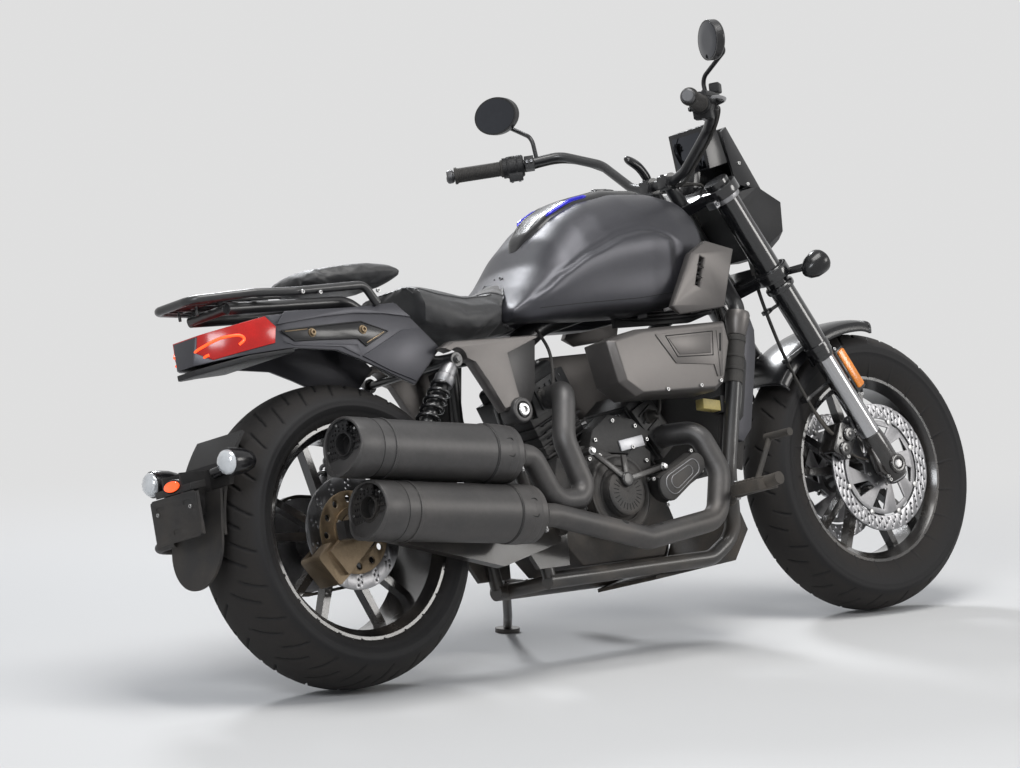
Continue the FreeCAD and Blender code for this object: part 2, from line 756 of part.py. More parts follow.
def pulley(centre, radius):
    return Part.makeCylinder(radius + PULLEY_FLANGE, PULLEY_W, centre + V(0, PULLEY_Y - PULLEY_W / 2, 0), V(0, 1, 0))


def belt_loop(extra):
    """A closed band round both pulleys, as a solid out to extra beyond their radii."""
    span = FRONT_PULLEY - REAR_AXLE
    lean = math.degrees(math.atan2(span.z, span.x))
    gap = math.degrees(math.acos((PULLEY_R - FRONT_PULLEY_R) / span.Length))
    rear, front = PULLEY_R + extra, FRONT_PULLEY_R + extra
    up_a, low_a = REAR_AXLE + polar(rear, lean + gap), REAR_AXLE + polar(rear, lean - gap)
    up_b, low_b = FRONT_PULLEY + polar(front, lean + gap), FRONT_PULLEY + polar(front, lean - gap)
    edges = [Part.LineSegment(up_a, up_b).toShape(),
             Part.Arc(up_b, FRONT_PULLEY + polar(front, lean), low_b).toShape(),
             Part.LineSegment(low_b, low_a).toShape(),
             Part.Arc(low_a, REAR_AXLE - polar(rear, lean), up_a).toShape()]
    face = Part.Face(Part.Wire(edges))
    face.translate(V(0, PULLEY_Y - BELT_W / 2, 0))
    return face.extrude(V(0, BELT_W, 0))


FRONT_PULLEY = PIVOT + V(FRONT_PULLEY_AHEAD, 0, FRONT_PULLEY_UP)


def drive_belt():
    """The final drive's closed loop, clear of the pulleys' flanges."""
    return belt_loop(PULLEY_FLANGE + BELT_GAP + BELT_THICK).cut(belt_loop(PULLEY_FLANGE + BELT_GAP))


# Swingarm, axle and shocks
def swingarm():
    """Two box arms with a cross tube, ears for the shocks and bores for the axle and the pivot."""
    half = ARM_HEIGHT / 2
    tip, waist = half * ARM_TIP_SHARE, half * ARM_AXLE_SHARE
    dip = PIVOT - V(ARM_DIP_BACK, 0, ARM_DIP_DOWN)
    shape = [PIVOT + V(0, 0, half), dip + V(0, 0, half), REAR_AXLE + V(0, 0, waist),
             REAR_AXLE + V(-AXLE_PLATE, 0, tip), REAR_AXLE - V(AXLE_PLATE, 0, tip),
             REAR_AXLE - V(0, 0, waist), dip - V(0, 0, half), PIVOT - V(0, 0, half)]
    right = slab(shape, -ARM_RIGHT_Y - ARM_W / 2, -ARM_RIGHT_Y + ARM_W / 2)
    left = slab(shape, ARM_LEFT_Y - ARM_W / 2, ARM_LEFT_Y + ARM_W / 2)
    cross = rod(PIVOT - V(ARM_CROSS_BACK, ARM_RIGHT_Y, 0), PIVOT + V(-ARM_CROSS_BACK, ARM_LEFT_Y, 0), ARM_CROSS_R)
    pieces = [right, left, cross]
    foot = REAR_AXLE.z - half - SHOCK_LOW.z
    eye = [V(-EAR_W, 0, EAR_W / 2), V(EAR_W, 0, EAR_W / 2), V(EAR_W * 2, 0, foot), V(-EAR_W * 2, 0, foot)]
    for y in (SHOCK_EYE_W / 2 + GAP - SHOCK_RIGHT_Y, SHOCK_LEFT_Y - SHOCK_EYE_W / 2 - EAR_THICK - GAP):
        pieces.append(slab([SHOCK_LOW + p for p in eye], y, y + EAR_THICK))
    for y in (-SHOCK_RIGHT_Y, SHOCK_LEFT_Y):
        pieces.append(across(SHOCK_LOW + V(0, y, 0), SHOCK_EYE_W / 2 + EAR_THICK, SHOCK_PIN_R))
    return joined(pieces).cut([across(REAR_AXLE, FAR, AXLE_R + GAP), across(PIVOT, FAR, PIVOT_R + GAP)])


def rear_axle():
    """The rear axle with its end nuts."""
    right, left = -ARM_RIGHT_Y - ARM_W / 2, ARM_LEFT_Y + ARM_W / 2
    nut = ARM_W / 2
    shaft = rod(REAR_AXLE + V(0, right - nut, 0), REAR_AXLE + V(0, left + nut, 0), AXLE_R)
    return joined([shaft, rod(REAR_AXLE + V(0, right - nut, 0), REAR_AXLE + V(0, right - FIT, 0), AXLE_NUT_R),
                   rod(REAR_AXLE + V(0, left + FIT, 0), REAR_AXLE + V(0, left + nut, 0), AXLE_NUT_R)])


def shock(y):
    """A rear shock on its eyes: smooth top can, ribbed spring and a thinner body."""
    top, low = SHOCK_TOP + V(0, y, 0), SHOCK_LOW + V(0, y, 0)
    run = low - top
    coil_from, coil_to = top + run * SHOCK_COIL_FROM_SHARE, top + run * SHOCK_COIL_TO_SHARE
    pieces = [rod(top, low, SHOCK_BODY_R), rod(top + unit(run) * SHOCK_EYE_R, coil_from, SHOCK_CAN_R),
              rod(coil_from, coil_to, SHOCK_COIL_R - SHOCK_GROOVE)]
    pitch = (coil_to - coil_from) * (1 / (2 * SHOCK_TURNS - 1))
    for turn in range(SHOCK_TURNS):
        a = coil_from + pitch * (2 * turn)
        pieces.append(rod(a, a + pitch, SHOCK_COIL_R))
    pieces += [across(eye, SHOCK_EYE_W / 2, SHOCK_EYE_R) for eye in (top, low)]
    return joined(pieces).cut([across(eye, SHOCK_EYE_W, SHOCK_PIN_R + FIT) for eye in (top, low)])


def shock_room():
    """The space that the shocks and their pins need inside covers."""
    rooms = [across(SHOCK_TOP, FAR, SHOCK_COIL_R)]
    for y in (-SHOCK_RIGHT_Y, SHOCK_LEFT_Y):
        rooms.append(rod(SHOCK_TOP + V(0, y, 0), SHOCK_LOW + V(0, y, 0), SHOCK_COIL_R + OVERRUN))
    return rooms


# Frame
def backbone_line():
    """The backbone's centre points, from the head tube back to the seat rails' crossing."""
    return spots(SEAT_CROSS, HEAD_MID, BACKBONE_SHARES)


def frame():
    """Head tube and backbone."""
    low, high = FORK_CROWN + CLAMP_THICK / 2 + HEAD_GAP, FORK_TOP - CLAMP_THICK / 2 - HEAD_GAP
    head = rod(along_head(low), along_head(high), HEAD_TUBE_R)
    bore = rod(along_head(FORK_CROWN), along_head(FORK_TOP), STEM_BORE)
    return joined([head, bent_tube(backbone_line(), BACKBONE_R, TUBE_BEND * 2)]).cut(bore)


def cradle(main):
    """Down tubes and lower rails, the risers behind the engine, the pivot plates and the stand's lug."""
    side = bent_tube(spots(CRADLE_LOW, CRADLE_HIGH, CRADLE_SHARES), DOWNTUBE_R, TUBE_BEND)
    riser = bent_tube(spots(CRADLE_LOW, V(CRADLE_HIGH.x, CRADLE_HIGH.y, SEAT_CROSS.z), RISER_SHARES), RAIL_R, TUBE_BEND)
    plate = slab([PIVOT + V(x, 0, z) for x, z in PIVOT_PLATE_SHARES],
                 -PIVOT_PLATE_Y - PIVOT_PLATE / 2, -PIVOT_PLATE_Y + PIVOT_PLATE / 2)
    pivot = rod(PIVOT - V(0, ARM_RIGHT_Y + ARM_W, 0), PIVOT + V(0, ARM_LEFT_Y + ARM_W, 0), PIVOT_R)
    cross = across(V(PIVOT.x + (CRADLE_HIGH.x - PIVOT.x) * CRADLE_CROSS_SHARE, 0, RAIL_Z), RAIL_REAR_Y, RAIL_R)
    rail_side = V(STAND_PIVOT.x, RAIL_REAR_Y, RAIL_Z + RAIL_R)
    lug = [rod(STAND_PIVOT + STAND_AXIS * STAND_LUG, STAND_PIVOT + STAND_AXIS * STAND_LUG_TOP, STAND_EYE_R),
           rod(STAND_PIVOT - STAND_AXIS * STAND_PIN_LOW, STAND_PIVOT + STAND_AXIS * STAND_PIN_HIGH, STAND_PIN_R),
           rod(STAND_PIVOT + STAND_AXIS * STAND_STAY_UP, rail_side, STAND_STAY_R)]
    return joined([side, mirrored(side), riser, mirrored(riser), plate, mirrored(plate), pivot, cross] + lug).cut(main)


def subframe(main):
    """The seat rails with their crossings and the upper pins of the shocks."""
    rise = V(SEAT_CROSS.x, -SEAT_RAIL_Y, SEAT_CROSS.z)
    hang = V(SHOCK_TOP.x, -SEAT_RAIL_Y, SHOCK_TOP.z + SHOCK_PIN_R)
    rail = bent_tube([rise + V(0, SEAT_RAIL_Y - BACKBONE_R / 2, 0), rise - V(SEAT_CROSS_AHEAD, 0, 0), hang,
                      V(SEAT_RAIL_KNEE, -SEAT_RAIL_Y, TAIL_RAIL_Z), V(-SEAT_RAIL_BACK, -SEAT_RAIL_Y, TAIL_RAIL_Z)],
                     SEAT_RAIL_R, TUBE_BEND)
    pins = rod(SHOCK_TOP - V(0, SHOCK_RIGHT_Y + SHOCK_EYE_W / 2 + OVERRUN, 0),
               SHOCK_TOP + V(0, SHOCK_LEFT_Y + SHOCK_EYE_W / 2 + OVERRUN, 0), SHOCK_PIN_R)
    tail = across(V(-SEAT_RAIL_BACK, 0, TAIL_RAIL_Z), SEAT_RAIL_Y, TAIL_CROSS_R)
    return joined([rail, mirrored(rail), pins, tail]).cut(main)


# Tail cover, lamp, rack
def tail_block(side_shares, out):
    """A side outline of the tail cut to its plan, outset by out."""
    side = outline(-TAIL_REAR, TAIL_Z, TAIL_LENGTH, TAIL_HEIGHT, side_shares)
    right = [V(-TAIL_REAR - out + TAIL_LENGTH * sx, -(TAIL_HALF + out) * sy, 0) for sx, sy in TAIL_PLAN_SHARES]
    plan = right + [V(p.x, -p.y, 0) for p in reversed(right)]
    return slab(side, -FAR, FAR).common(plan_slab(plan, 0, FAR))


def rear_fender(others):
    """The tail cover: a wedge pointed at both ends, hollow above the tyre."""
    rear = -TAIL_REAR + TAIL_LENGTH * TAIL_HOLLOW_SHARE
    inner = TAIL_HALF - TAIL_WALL * 2
    hollow = box(rear, TAIL_LENGTH, -inner, inner, 0, TAIL_Z + TAIL_HEIGHT * TAIL_ROOF_SHARE)
    return tail_block(TAIL_SIDE_SHARES, 0).cut([hollow] + others)


def rear_rack():
    """A tube hoop round the pillion seat with bars and two spines behind it, on posts to the seat rails."""
    right = [V(-RACK_REAR * sx, -RACK_HALF * sy, RACK_Z + RACK_DROP * min(sz, 0)) for sx, sy, sz in RACK_SHARES]
    way = right + [V(p.x, -p.y, p.z) for p in reversed(right)]
    pieces = [bent_tube(way, RACK_R, RACK_BEND)]
    for along, wide in RACK_SLAT_SHARES:
        pieces.append(across(V(-RACK_REAR * along, 0, RACK_Z), RACK_HALF * wide, RACK_BAR_R))
    for y in (-RACK_SPINE_Y, RACK_SPINE_Y):
        pieces.append(rod(V(-RACK_REAR * RACK_SPINE_FROM_SHARE, y, RACK_Z), V(-RACK_REAR * RACK_SHARES[-1][0], y, RACK_Z),
                          RACK_SPINE_R))
    for y in (-RACK_POST_Y, RACK_POST_Y):
        foot = V(-SEAT_RAIL_BACK, y, TAIL_RAIL_Z + TAIL_CROSS_R + FIT)
        pieces.append(rod(foot, V(foot.x, y, RACK_Z), RACK_BAR_R))
        pieces.append(rod(V(foot.x, y, RACK_Z), V(-RACK_REAR * RACK_SLAT_SHARES[2][0], y, RACK_Z), RACK_SPINE_R))
    return joined(pieces)


def signal(centre, way):
    """A bullet lamp that tapers away from its lens."""
    return Part.makeCone(SIGNAL_R, SIGNAL_R * SIGNAL_TAIL_SHARE, SIGNAL_LENGTH, centre, way)


def rear_signal():
    lens = V(SIGNAL_X - SIGNAL_LENGTH * SIGNAL_BEHIND_SHARE, -SIGNAL_Y - SIGNAL_OUT, SIGNAL_Z)
    return signal(lens, V(1, 0, 0)).cut(across(V(SIGNAL_X, 0, SIGNAL_Z), SIGNAL_Y, STALK_R + FIT))


def plate_carrier():
    """The guard behind the tyre, its hanging flap, the lamp tube, the plate's bracket and the arm to the swingarm."""
    shell = ring_y([(HUGGER_R, -HUGGER_HALF), (HUGGER_R + HUGGER_THICK, -HUGGER_HALF),
                    (HUGGER_R + HUGGER_THICK, HUGGER_HALF), (HUGGER_R, HUGGER_HALF)], V(0, 0, 0))
    middle = (HUGGER_FROM + HUGGER_TO) / 2
    wedge = slab([V(0, 0, 0)] + [polar(HUGGER_R * 2, a) for a in (HUGGER_FROM, middle, HUGGER_TO)], -FAR, FAR)
    shell = shell.common(wedge)
    shell.translate(REAR_AXLE)
    drop = V(-FLAP_BACK, 0, -FLAP_DROP)
    flap = slab([FLAP_TOP, FLAP_TOP + drop, FLAP_TOP + drop - V(FLAP_THICK, 0, 0), FLAP_TOP - V(FLAP_THICK, 0, 0)],
                -FLAP_HALF, FLAP_HALF)
    round_end = rod(FLAP_TOP + drop + V(FAR, 0, FLAP_HALF), FLAP_TOP + drop + V(-FAR, 0, FLAP_HALF), FLAP_HALF)
    flap = flap.common(joined([round_end, box(-FAR, FAR, -FAR, FAR, FLAP_TOP.z - FLAP_DROP + FLAP_HALF, FAR)]))
    beam = box(SIGNAL_X - STALK_R, SIGNAL_X + BEAM_DEEP, -BEAM_HALF, BEAM_HALF,
               SIGNAL_Z - BEAM_TALL, SIGNAL_Z + STALK_R)
    plate = box(PLATE_X - PLATE_THICK, PLATE_X, -PLATE_W / 2, PLATE_W / 2, PLATE_Z, PLATE_Z + PLATE_H)
    hole = V(PLATE_X, PLATE_HOLE_Y, PLATE_Z + PLATE_H * PLATE_HOLE_SHARE)
    plate = plate.cut([rod(V(hole.x - PLATE_THICK * 2, y, hole.z), V(hole.x + PLATE_THICK, y, hole.z), PLATE_HOLE_R)
                       for y in (-hole.y, hole.y)])
    webs = [box(PLATE_X - OVERRUN, SIGNAL_X, y - WEB_THICK / 2, y + WEB_THICK / 2,
                PLATE_Z + PLATE_H * PLATE_HOLE_SHARE, SIGNAL_Z) for y in (-WEB_HALF, WEB_HALF)]
    stalk = across(V(SIGNAL_X, 0, SIGNAL_Z), SIGNAL_Y, STALK_R)
    y = ARM_LEFT_Y + ARM_W / 2 + CARRIER_ARM_R + GAP
    arm = bent_tube([V(PLATE_X * sx, y * sy, REAR_AXLE.z + (SIGNAL_Z - REAR_AXLE.z) * sz)
                     for sx, sy, sz in CARRIER_ARM_SHARES], CARRIER_ARM_R, TUBE_BEND)
    room = rod(REAR_AXLE - V(0, ARM_LEFT_Y, 0), REAR_AXLE + V(0, HUGGER_HALF + STALK_R * 2, 0), HUGGER_R - FIT)
    return joined([shell, flap, beam, plate, stalk, arm] + webs).cut(room)


# Tank, console and shrouds
def fuel_tank():
    """A rounded tank over the backbone, with a tunnel below and a hollow front round the head tube."""
    sections = []
    for along, wide, low, high in TANK_STATION_SHARES:
        sections.append(station(TANK_REAR + TANK_LENGTH * along, TANK_HALF * wide, TANK_BASE + TANK_HEIGHT * low,
                                TANK_BASE + TANK_HEIGHT * high, TANK_SECTION_SHARES))
    head = rod(HEAD_LOW, along_head(FORK_TOP + FORK_CAP + CLAMP_THICK * 2), HEAD_TUBE_R + OVERRUN)
    return smooth_loft(sections).cut(tunnel()).cut(head)


def tunnel():
    """The space under the tank that the backbone passes through."""
    top = [p + V(0, 0, BACKBONE_R + OVERRUN) for p in backbone_line()]
    floor = min(TANK_BASE, SEAT_CROSS.z) - BACKBONE_R
    front, rear = top[0].x + BACKBONE_R, top[-1].x - OVERRUN
    return slab([V(rear, 0, floor), V(rear, 0, top[-1].z)] + list(reversed(top))
                + [V(front, 0, top[0].z), V(front, 0, floor)], -TUNNEL_HALF, TUNNEL_HALF)


TANK_REAR = SEAT_CROSS.x - TANK_REAR_BACK
TANK_LENGTH = HEAD_MID.x - TANK_FRONT_BACK - TANK_REAR


def tank_ridge(share):
    """Height of the tank's top line at a share of its length."""
    for a, b in zip(TANK_STATION_SHARES, TANK_STATION_SHARES[1:]):
        if a[0] <= share <= b[0]:
            return TANK_BASE + TANK_HEIGHT * (a[3] + (b[3] - a[3]) * (share - a[0]) / (b[0] - a[0]))
    return TANK_BASE + TANK_HEIGHT


def tank_console():
    """The long trim on the tank's ridge, as a strip that follows the ridge."""
    sections = []
    for along, wide in CONSOLE_STATION_SHARES:
        share = CONSOLE_FROM_SHARE + (CONSOLE_TO_SHARE - CONSOLE_FROM_SHARE) * along
        top = tank_ridge(share) + CONSOLE_RISE
        sections.append(station(TANK_REAR + TANK_LENGTH * share, CONSOLE_HALF * wide, top - CONSOLE_DEEP, top,
                                CONSOLE_SECTION_SHARES))
    return plain_loft(sections)


def tank_shroud():
    """The angular cover over the tank's front corner, with three slots and a boss onto the tank."""
    x, z = HEAD_MID.x - SHROUD_BACK, TANK_BASE - SHROUD_BELOW
    points = outline(x, z, SHROUD_LENGTH, SHROUD_HEIGHT, SHROUD_SHARES)
    inner, outer = -SHROUD_Y + SHROUD_THICK / 2, -SHROUD_Y - SHROUD_THICK / 2
    cover = bevelled_slab(points, inner, outer, SHROUD_EDGE)
    slots = []
    for share in SHROUD_SLOT_SHARES:
        low = V(x + SHROUD_LENGTH * share, 0, z + SHROUD_HEIGHT * SHROUD_SLOT_FROM_SHARE)
        high = low + V(SHROUD_SLOT_LEAN, 0, SHROUD_SLOT_LENGTH)
        side = V(SHROUD_SLOT_W, 0, 0)
        slots.append(slab([low, low + side, high + side, high], outer - OVERRUN, outer + SHROUD_SLOT_DEEP))
    boss = V(x + SHROUD_LENGTH * SHROUD_BOSS_SHARES[0], 0, z + SHROUD_HEIGHT * SHROUD_BOSS_SHARES[1])
    foot = rod(boss + V(0, inner, 0), boss - V(0, TANK_HALF / 2, 0), SHROUD_BOSS_R)
    return joined([cover.cut(slots), foot])


# Seats and side covers
def rider_seat():
    sections = []
    for along, wide, low, high in SEAT_STATION_SHARES:
        sections.append(station(SEAT_CROSS.x - SEAT_REAR_BACK + SEAT_LENGTH * along, SEAT_HALF * wide,
                                SEAT_BASE + SEAT_HEIGHT * low, SEAT_BASE + SEAT_HEIGHT * high, SEAT_SECTION_SHARES))
    return plain_loft(sections)


SEAT_BASE = SEAT_CROSS.z + SEAT_UP


def pillion_seat():
    base = SEAT_CROSS.z + PILLION_UP
    sections = []
    for along, wide, low, high in PILLION_STATION_SHARES:
        sections.append(station(SEAT_CROSS.x - PILLION_REAR_BACK + PILLION_LENGTH * along, PILLION_HALF * wide,
                                base + PILLION_HEIGHT * low, base + PILLION_HEIGHT * high, SEAT_SECTION_SHARES))
    return plain_loft(sections)


def side_cover():
    points = outline(SEAT_CROSS.x - SIDE_COVER_BACK, SEAT_CROSS.z - SIDE_COVER_BELOW, SIDE_COVER_LENGTH,
                     SIDE_COVER_HEIGHT, SIDE_COVER_SHARES)
    return bevelled_slab(points, -SIDE_COVER_OUT + SIDE_COVER_THICK, -SIDE_COVER_OUT, SIDE_COVER_EDGE)


def airbox_cover():
    points = outline(CRANK.x - AIRBOX_BACK, CRANK.z + AIRBOX_UP, AIRBOX_LENGTH, AIRBOX_HEIGHT, AIRBOX_SHARES)
    return bevelled_slab(points, -AIRBOX_IN, -AIRBOX_OUT, AIRBOX_EDGE)


# Engine
def engine_case():
    return slab(outline(CRANK.x - CASE_BACK, CRANK.z - CASE_BELOW, CASE_LENGTH, CASE_HEIGHT, CASE_SHARES),
                -CASE_HALF, CASE_HALF)


def centred_box(deep, wide, z0, z1):
    return box(-deep / 2, deep / 2, -wide / 2, wide / 2, z0, z1)


def bank(tilt):
    """One cylinder of the V: finned barrel, head and rounded cover, tilted from upright about the crank."""
    pieces = [centred_box(BARREL_D, BARREL_W, BARREL_FROM, BARREL_TO)]
    pitch = (BARREL_TO - BARREL_FROM) / FIN_COUNT
    for fin in range(FIN_COUNT):
        z = BARREL_FROM + pitch * (fin + 1) - FIN_THICK - FIT
        pieces.append(centred_box(BARREL_D + 2 * FIN_OUT, BARREL_W + 2 * FIN_OUT, z, z + FIN_THICK))
    head_top = BARREL_TO + HEAD_LENGTH
    top = head_top + COVER_LENGTH
    cover = centred_box(HEAD_D * COVER_D_SHARE, HEAD_W * COVER_W_SHARE, head_top, top)
    cover = cover.makeFillet(COVER_ROUND, [e for e in cover.Edges if e.CenterOfMass.z > top - FIT])
    solid = joined(pieces + [centred_box(HEAD_D, HEAD_W, BARREL_TO, head_top), cover])
    solid.rotate(V(0, 0, 0), V(0, 1, 0), tilt)
    solid.translate(CRANK)
    return solid


def engine_cover(ahead, side, deep):
    """A round cover on one side of the case, with a raised middle."""
    a = CRANK + V(ahead, side * (CASE_HALF + GAP), -ROUND_COVER_BELOW)
    out = V(0, side * deep, 0)
    return joined([rod(a, a + out * ROUND_COVER_STEP_SHARE, ROUND_COVER_R), rod(a, a + out, ROUND_COVER_CAP_R)])


def pump():
    """The slanted round housing on the case's right front, on a short foot."""
    a, b = (CRANK + p - V(0, PUMP_Y, 0) for p in (PUMP_FROM, PUMP_TO))
    middle = (a + b) * 0.5
    return joined([rod(a, b, PUMP_R), rod(middle, V(middle.x, -CASE_HALF - GAP, middle.z), PUMP_FOOT_R)])


def radiator():
    """A leaned core ahead of the down tubes, with a plate on each side, a cap and stays to the tubes."""
    top, low = spots(CRADLE_LOW, CRADLE_HIGH, CRADLE_SHARES)[1:3]
    run = V(top.x - low.x, 0, top.z - low.z)
    ahead = unit(V(run.z, 0, -run.x))
    a, b = V(low.x, 0, low.z) + run * RADIATOR_FROM_SHARE, V(low.x, 0, low.z) + run * RADIATOR_TO_SHARE
    rear, front = ahead * RADIATOR_AHEAD, ahead * (RADIATOR_AHEAD + RADIATOR_THICK)
    pieces = [slab([a + rear, a + front, b + front, b + rear], -RADIATOR_HALF, RADIATOR_HALF)]
    back, nose, cap = ahead * -GUARD_BACK, front + ahead * GUARD_AHEAD, unit(run) * GUARD_CAP
    shape = [a + back, a + nose, b + nose, b + cap + front, b + cap, b + back]
    for side in (-1, 1):
        y0, y1 = sorted((side * RADIATOR_HALF, side * (RADIATOR_HALF + RADIATOR_GUARD)))
        pieces.append(slab(shape, y0, y1))
        for share in RADIATOR_STAY_SHARES:
            p = a + (b - a) * share + rear
            foot = V(p.x, side * (DOWNTUBE_Y - DOWNTUBE_R * RADIATOR_STAY_REACH), p.z)
            pieces.append(rod(V(p.x, side * RADIATOR_HALF, p.z) + ahead * RADIATOR_STAY_R, foot + ahead * RADIATOR_STAY_R,
                              RADIATOR_STAY_R))
    return joined(pieces)


def belly_pan():
    """The pan under the engine's front, between the lower rails."""
    points = outline(CRANK.x + PAN_BACK, CRANK.z - PAN_BELOW, PAN_LENGTH, PAN_HEIGHT, PAN_SHARES)
    return slab(points, -PAN_HALF, PAN_HALF)


# Exhaust
def muffler(rear, front):
    """A round can with a slanted, recessed outlet face, two raised rings and a neck at its front."""
    along = unit(front - rear)
    start = rear - along * MUFFLER_R
    slant = box(-FAR, 0, -FAR, FAR, -FAR, FAR)
    slant.rotate(V(0, 0, 0), V(0, 1, 0), MUFFLER_SLANT)
    slant.translate(rear)
    deeper = slant.copy()
    deeper.translate(along * MUFFLER_RECESS)
    inner = MUFFLER_R - MUFFLER_LIP
    lip = rod(start, front, MUFFLER_R).cut(rod(start, front, inner)).cut(slant)
    core = rod(start, front, inner).cut(deeper)
    ring = rear + (front - rear) * MUFFLER_RING_SHARE
    pieces = [lip, core, rod(ring, ring + along * MUFFLER_RING, MUFFLER_R + BAND_RISE),
              rod(front - along * (BAND_LENGTH * 2), front - along * BAND_LENGTH, MUFFLER_R + BAND_RISE),
              Part.makeCone(MUFFLER_R, HEADER_R + OVERRUN, BAND_LENGTH, front, along)]
    outlet = rod(start, rear + along * BAND_LENGTH, MUFFLER_R * MUFFLER_OUTLET_SHARE)
    return joined(pieces).cut(outlet)


def header(port, offsets, rear, front):
    """A pipe from the cylinder's port through its bends into the silencer's neck."""
    along = unit(front - rear)
    end = front + along * (BAND_LENGTH + FIT)
    way = [CRANK + p for p in (port, port - V(0, HEADER_PORT, 0)) + offsets] + [end + along * HEADER_LEAD, end]
    return bent_tube(way, HEADER_R, HEADER_BEND)


# Fork and steering
def fork_upper():
    return rod(fork(FORK_SLIDER_TOP, 0, -FORK_Y), fork(FORK_TOP + FORK_CAP, 0, -FORK_Y), FORK_UPPER_R)


def fork_lower():
    foot = rod(fork(-FORK_FOOT_LOW, 0, -FORK_Y), fork(FORK_FOOT_TOP, 0, -FORK_Y), FORK_FOOT_R)
    slider = rod(fork(FORK_FOOT_TOP, 0, -FORK_Y), fork(FORK_SLIDER_TOP - FIT, 0, -FORK_Y), FORK_SLIDER_R)
    return joined([foot, slider]).cut(across(FRONT_AXLE, FORK_Y * 2, AXLE_BORE))


def front_axle():
    return across(FRONT_AXLE, FORK_Y + FORK_FOOT_R, AXLE_R)


def triple_clamps():
    """Two clamps round the fork tubes on the steering stem."""
    pieces = [rod(along_head(FORK_CROWN - CLAMP_THICK / 2), along_head(FORK_TOP + CLAMP_THICK / 2), STEM_R)]
    for level in (FORK_CROWN, FORK_TOP):
        low = level - CLAMP_THICK / 2
        legs = [fork(low, 0, side * FORK_Y) for side in (-1, 1)]
        rear = -FORK_OFFSET - HEAD_TUBE_R
        bridge = Part.Face(closed([
            fork(low, FORK_UPPER_R, -FORK_Y), fork(low, FORK_UPPER_R, FORK_Y), fork(low, -FORK_UPPER_R, FORK_Y),
            fork(low, rear, HEAD_TUBE_R), fork(low, rear, -HEAD_TUBE_R), fork(low, -FORK_UPPER_R, -FORK_Y)]))
        ears = [Part.makeCylinder(FORK_UPPER_R + CLAMP_EAR, CLAMP_THICK, leg, STEER_AXIS) for leg in legs]
        bores = [Part.makeCylinder(FORK_UPPER_R + FIT, CLAMP_THICK * 3, leg - STEER_AXIS * CLAMP_THICK, STEER_AXIS)
                 for leg in legs]
        pieces.append(joined(ears + [bridge.extrude(STEER_AXIS * CLAMP_THICK)]).cut(bores))
    return joined(pieces)


def front_fender():
    """A short curved guard over the front tyre, with a tab on each side at the fork."""
    inner = FRONT_TYRE_R + FENDER_GAP
    half = FRONT_TYRE_W / 2 + FENDER_SIDE_GAP
    shell = ring_y([(inner, -half), (inner + FENDER_SHELL, -half), (inner + FENDER_CROWN, 0), (inner + FENDER_SHELL, half),
                    (inner, half), (inner + FENDER_CROWN - FENDER_SHELL, 0)], V(0, 0, 0))
    middle = (FENDER_FROM + FENDER_TO) / 2
    wedge = slab([V(0, 0, 0)] + [polar(FRONT_TYRE_R * 3, a) for a in (FENDER_FROM, middle, FENDER_TO)], -FAR, FAR)
    shell = shell.common(wedge)
    shell.translate(FRONT_AXLE)
    tab = [fork(inner + up, ahead) for up, ahead in
           ((-FENDER_TAB_REACH, -FENDER_TAB_W / 2), (-FENDER_TAB_REACH, FENDER_TAB_W / 2),
            (FENDER_SHELL, FENDER_TAB_W / 2), (FENDER_SHELL, -FENDER_TAB_W / 2))]
    y = FORK_Y - FORK_UPPER_R - FIT
    return joined([shell, slab(tab, half - OVERRUN / 2, y), slab(tab, -y, OVERRUN / 2 - half)])


BAR_CLAMP = along_head(FORK_TOP + CLAMP_THICK / 2 + RISER_TALL)
BAR_POINTS = [BAR_CLAMP + V(-BAR_BACK * sx, BAR_HALF * sy, BAR_RISE * sz) for sx, sy, sz in BAR_SHARES]
BAR_WAY = unit(BAR_POINTS[1] - BAR_POINTS[0])


def handlebar():
    """The bent bar in its clamps on two risers."""
    way = BAR_POINTS + [V(p.x, -p.y, p.z) for p in reversed(BAR_POINTS)]
    pieces = [bent_tube(way, BAR_R, BAR_BEND)]
    for side in (-RISER_Y, RISER_Y):
        top = BAR_CLAMP + V(0, side, 0)
        riser = rod(along_head(FORK_TOP + CLAMP_THICK / 2 + FIT, side), top, RISER_R)
        pieces.append(joined([riser, across(top, RISER_R, RISER_CLAMP_R)]))
    return joined(pieces)


def grip():
    a, b = BAR_POINTS[0], BAR_POINTS[1]
    return rod(a - BAR_WAY * GRIP_CAP, a + BAR_WAY * GRIP_LENGTH, GRIP_R).cut(rod(a, b, BAR_R + FIT))


def switchgear(bar):
    """The switch pod inboard of the grip, and its lever ahead of the grip."""
    a = BAR_POINTS[0]
    start = a + BAR_WAY * (GRIP_LENGTH + FIT)
    pod = rod(start, start + BAR_WAY * POD_LENGTH, POD_R)
    root = start + BAR_WAY * (POD_LENGTH / 2)
    ahead = unit(BAR_WAY.cross(V(0, 0, 1)))
    if ahead.x < 0:
        ahead = ahead * -1
    lever = bent_tube([root] + [root + ahead * (LEVER_AHEAD * sx) - BAR_WAY * (LEVER_LENGTH * sy) for sx, sy in LEVER_SHARES],
                      LEVER_R, LEVER_BEND)
    return joined([pod, lever]).cut(bar)


